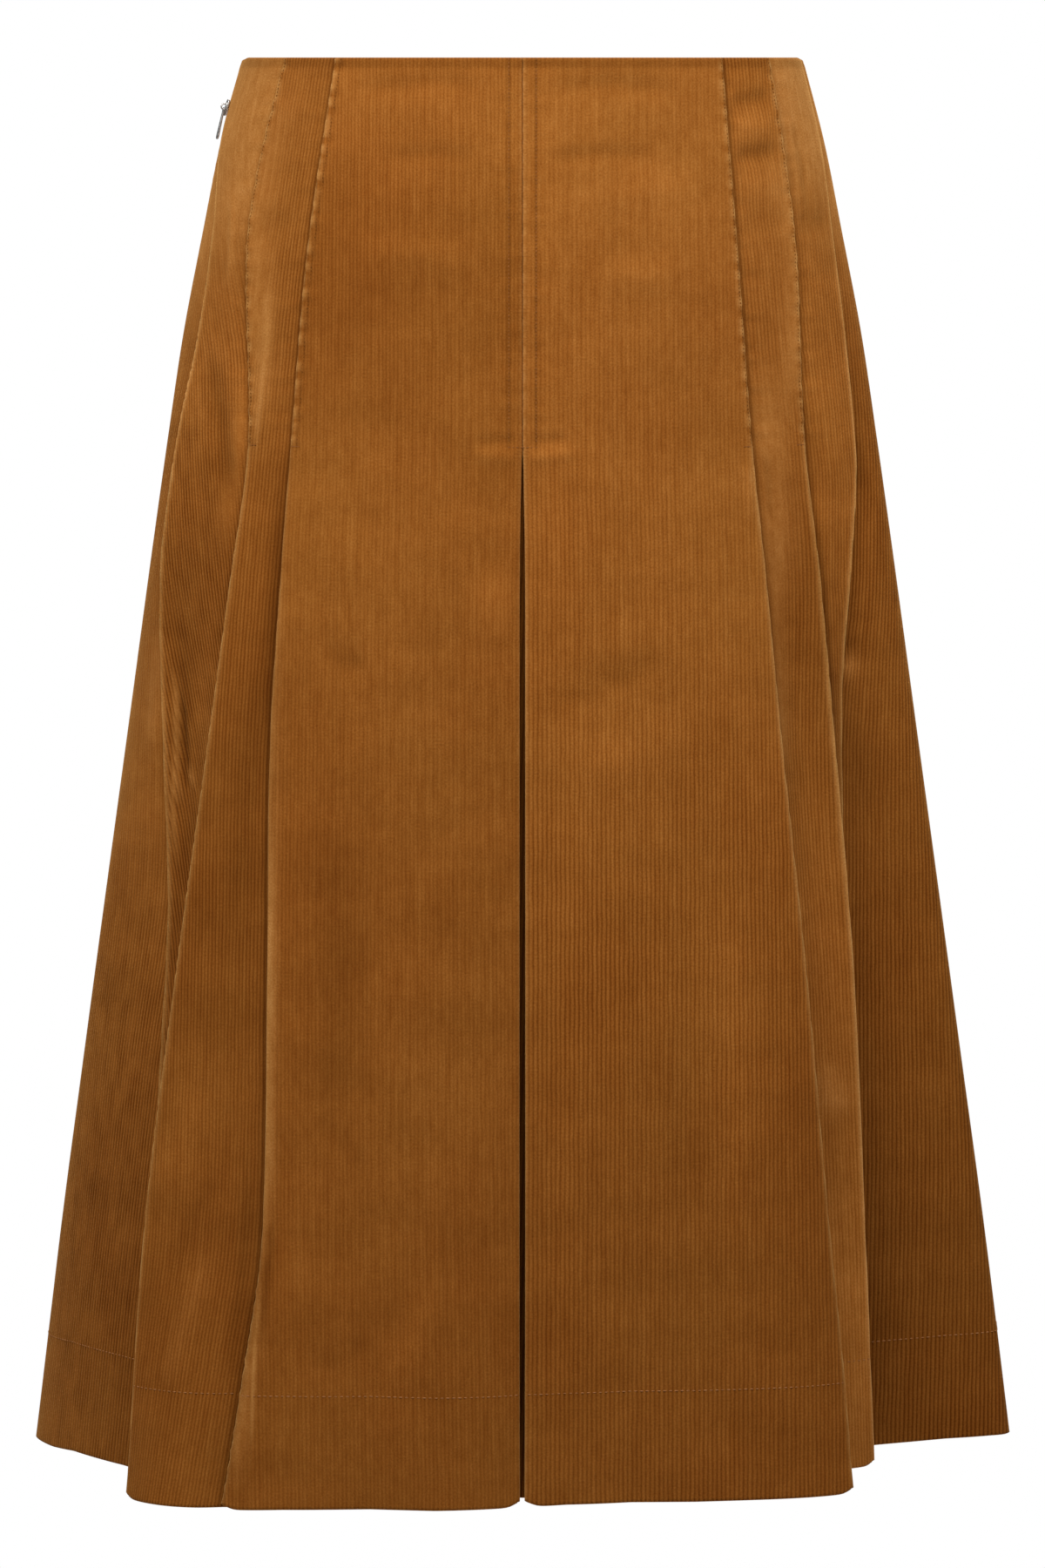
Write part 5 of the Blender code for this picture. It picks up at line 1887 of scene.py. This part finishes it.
    def slider(self, place: Vector, axes: Matrix) -> bpy.types.Object:
        """The slider: a shield-shaped plate with side flanges, and its bail."""
        width, height, thick = self.plate
        outline = [*arc((0, height / 2 - 1.2), (width / 2, 1.2), 0, 180, 9),
                   (-width / 2, 0.4), (-width * 0.38, -height / 2 + 0.5),
                   (-width * 0.30, -height / 2), (width * 0.30, -height / 2),
                   (width * 0.38, -height / 2 + 0.5), (width / 2, 0.4)]
        lift = CLOTH.wall / 2 + CLOTH.seam_gap
        plate = self._solid("plate", outline, (), thick, 0.22)
        boss = self._solid("boss", [(x * 0.55, y * 0.62) for x, y in outline], (), 0.5, 0.15)
        frame = Matrix.Translation(place * MM) @ axes
        return self._finished("zip_slider_cast", (
            (plate, frame @ Matrix.Translation((0, 0, (lift + thick / 2) * MM))),
            (boss, frame @ Matrix.Translation((0, 0, (lift + thick + 0.02) * MM))),
            (self.bail(), frame @ Matrix.Translation((0, 0, (lift + thick + self.bail_leg) * MM)))))

    def pull(self, place: Vector, axes: Matrix) -> bpy.types.Object:
        """The pull tab with its eye on the bail and a pressed hollow down its middle."""
        head = self.eye_radius + self.eye_band
        tip = self.pull_width / 2
        neck = self.pull_neck / 2
        centre = (0, -self.bail_radius)
        shoulder = -self.bail_radius - head - self.pull_shoulder
        outline = [*arc(centre, (head, head), 200, -20, 17), (neck, shoulder),
                   *arc((0, tip - self.pull_length), (tip, tip), 0, -180, 17),
                   (-neck, shoulder)]
        eye = arc(centre, (self.eye_radius, self.eye_radius), 0, 360, 21)[:-1]
        tab = self._solid("tab", outline, (eye,), self.pull_thick, 0.2)
        lift = CLOTH.wall / 2 + CLOTH.seam_gap + self.plate[2] + self.bail_leg
        frame = (Matrix.Translation(place * MM) @ axes @ Matrix.Translation((0, 0, lift * MM))
                 @ Matrix.Rotation(self.rest_angle, 4, "X"))
        return self._finished("zip_pull_tab", ((tab, frame),))

    def fit(self) -> None:
        """Builds the zip's pieces and hangs each on its body."""
        place, axes = self.seam_frame()
        for piece, node, body, slot in (
                (self.tape(), "zip_tape", CLOTH_BODY, "zip tape"),
                (self.coil(), None, CLOTH_BODY, "zip tape"),
                (self.slider(place, axes), "zip_slider", CLOTH_BODY, "zip metal"),
                (self.pull(place, axes), "zip_pull", PULL_BODY, "zip metal")):
            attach(piece, body)
            if node:
                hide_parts(node)
            LOG.info("%s: %d faces", piece.name, len(piece.data.polygons))


# ---- The studio ----
@dataclass
class Studio:
    """Floor, soft lights, white surround and the camera, in metres."""

    camera_distance: float = 3.5
    camera_tilt: float = math.radians(5.66)
    lens: float = 168.3
    sensor: float = 36.0
    floor_drop: float = 1.10
    floor_radius: float = 1.9

    def floor(self) -> bpy.types.Object:
        """A plain pale floor that thins out into the white surround."""
        rings, spokes = 24, 96
        places = [(0.0, 0.0, -self.floor_drop)]
        for r in range(1, rings + 1):
            radius = self.floor_radius * r / rings
            places += [(radius * math.cos(2 * math.pi * s / spokes),
                        radius * math.sin(2 * math.pi * s / spokes), -self.floor_drop)
                       for s in range(spokes)]
        faces = [(0, 1 + s, 1 + (s + 1) % spokes) for s in range(spokes)]
        for r in range(rings - 1):
            first = 1 + r * spokes
            faces += [(first + s, first + spokes + s, first + spokes + (s + 1) % spokes,
                       first + (s + 1) % spokes) for s in range(spokes)]
        data = bpy.data.meshes.new("floor")
        data.from_pydata(places, [], faces)
        material, shader = new_material("pale floor")
        tree = material.node_tree
        place = add_node(tree, "ShaderNodeTexCoord").outputs["Object"]
        flat = add_node(tree, "ShaderNodeVectorMath", {0: place, 1: (1, 1, 0)},
                        operation="MULTIPLY")
        away = add_node(tree, "ShaderNodeVectorMath", {0: flat.outputs["Vector"]},
                        operation="LENGTH")
        fade = add_node(tree, "ShaderNodeMapRange",
                        {"Value": away.outputs["Value"], "From Min": 0.4,
                         "From Max": self.floor_radius * 0.97, "To Min": 1.0, "To Max": 0.0},
                        interpolation_type="SMOOTHSTEP")
        feed(shader, {"Base Color": (0.93, 0.93, 0.925), "Roughness": 0.9,
                      "Alpha": fade.outputs["Result"]})
        data.materials.append(material)
        return put("floor", data)

    def light(self, name: str, place: tuple[float, float, float],
              target: tuple[float, float, float], size: tuple[float, float],
              power: float, colour: Colour) -> None:
        """A soft rectangular light aimed at a point."""
        lamp = bpy.data.lights.new(name, "AREA")
        lamp.shape = "RECTANGLE"
        lamp.size, lamp.size_y = size
        lamp.energy = power
        lamp.color = colour
        holder = put(name, lamp)
        holder.location = place
        aim = Vector(target) - Vector(place)
        holder.rotation_euler = aim.to_track_quat("-Z", "Y").to_euler()
        holder.visible_camera = False

    def surround(self) -> None:
        """White to the camera, and an even soft fill for the cloth."""
        world = bpy.data.worlds.new("surround")
        bpy.context.scene.world = world
        world.use_nodes = True
        tree = world.node_tree
        shown = tree.nodes["Background"]
        feed(shown, {"Color": (1, 1, 1), "Strength": 1.0})
        fill = add_node(tree, "ShaderNodeBackground",
                        {"Color": (1.0, 0.985, 0.965), "Strength": 0.19})
        ray = add_node(tree, "ShaderNodeLightPath").outputs["Is Camera Ray"]
        mix = add_node(tree, "ShaderNodeMixShader",
                       {0: ray, 1: fill.outputs[0], 2: shown.outputs[0]})
        feed(tree.nodes["World Output"], {"Surface": mix.outputs[0]})

    def camera(self) -> None:
        """The camera, level with the waist and tilted down a little."""
        data = bpy.data.cameras.new("camera")
        data.lens = self.lens
        data.sensor_width = self.sensor
        data.clip_end = 50
        holder = put("camera", data)
        holder.location = (0, -self.camera_distance, 0)
        holder.rotation_euler = (math.radians(90) - self.camera_tilt, 0, 0)
        bpy.context.scene.camera = holder

    def set_up(self) -> None:
        """Makes the whole studio."""
        self.camera()
        self.floor()
        warm = (1.0, 0.97, 0.93)
        self.light("key", (-0.15, -1.25, 1.1), (0, 0, -0.2), (1.0, 0.7), 25, warm)
        self.light("rear_key", (0.3, 1.3, 1.1), (0, 0, -0.2), (1.0, 0.7), 22, warm)
        for side in (-1, 1):
            self.light(f"waist_{side + 1}", (0.9 * side, -0.45, 0.55), (0.14 * side, 0, -0.06),
                       (0.4, 0.4), 5, warm)
        self.surround()
        bpy.context.scene.view_settings.view_transform = "Standard"


def clear_scene() -> None:
    """Removes whatever the file opened with."""
    for thing in list(bpy.data.objects):
        bpy.data.objects.remove(thing)


def main() -> None:
    """Loads the frame and dresses it."""
    logging.basicConfig(level=logging.INFO, format="%(name)s: %(message)s")
    clear_scene()
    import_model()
    finishes = Finishes()
    cloth = CorduroyPieces(finishes)
    cloth.cut()
    cloth.sew()
    Sewing(finishes, cloth.panels).sew()
    SideZip(finishes).fit()
    Studio().set_up()


if __name__ == "__main__":
    main()
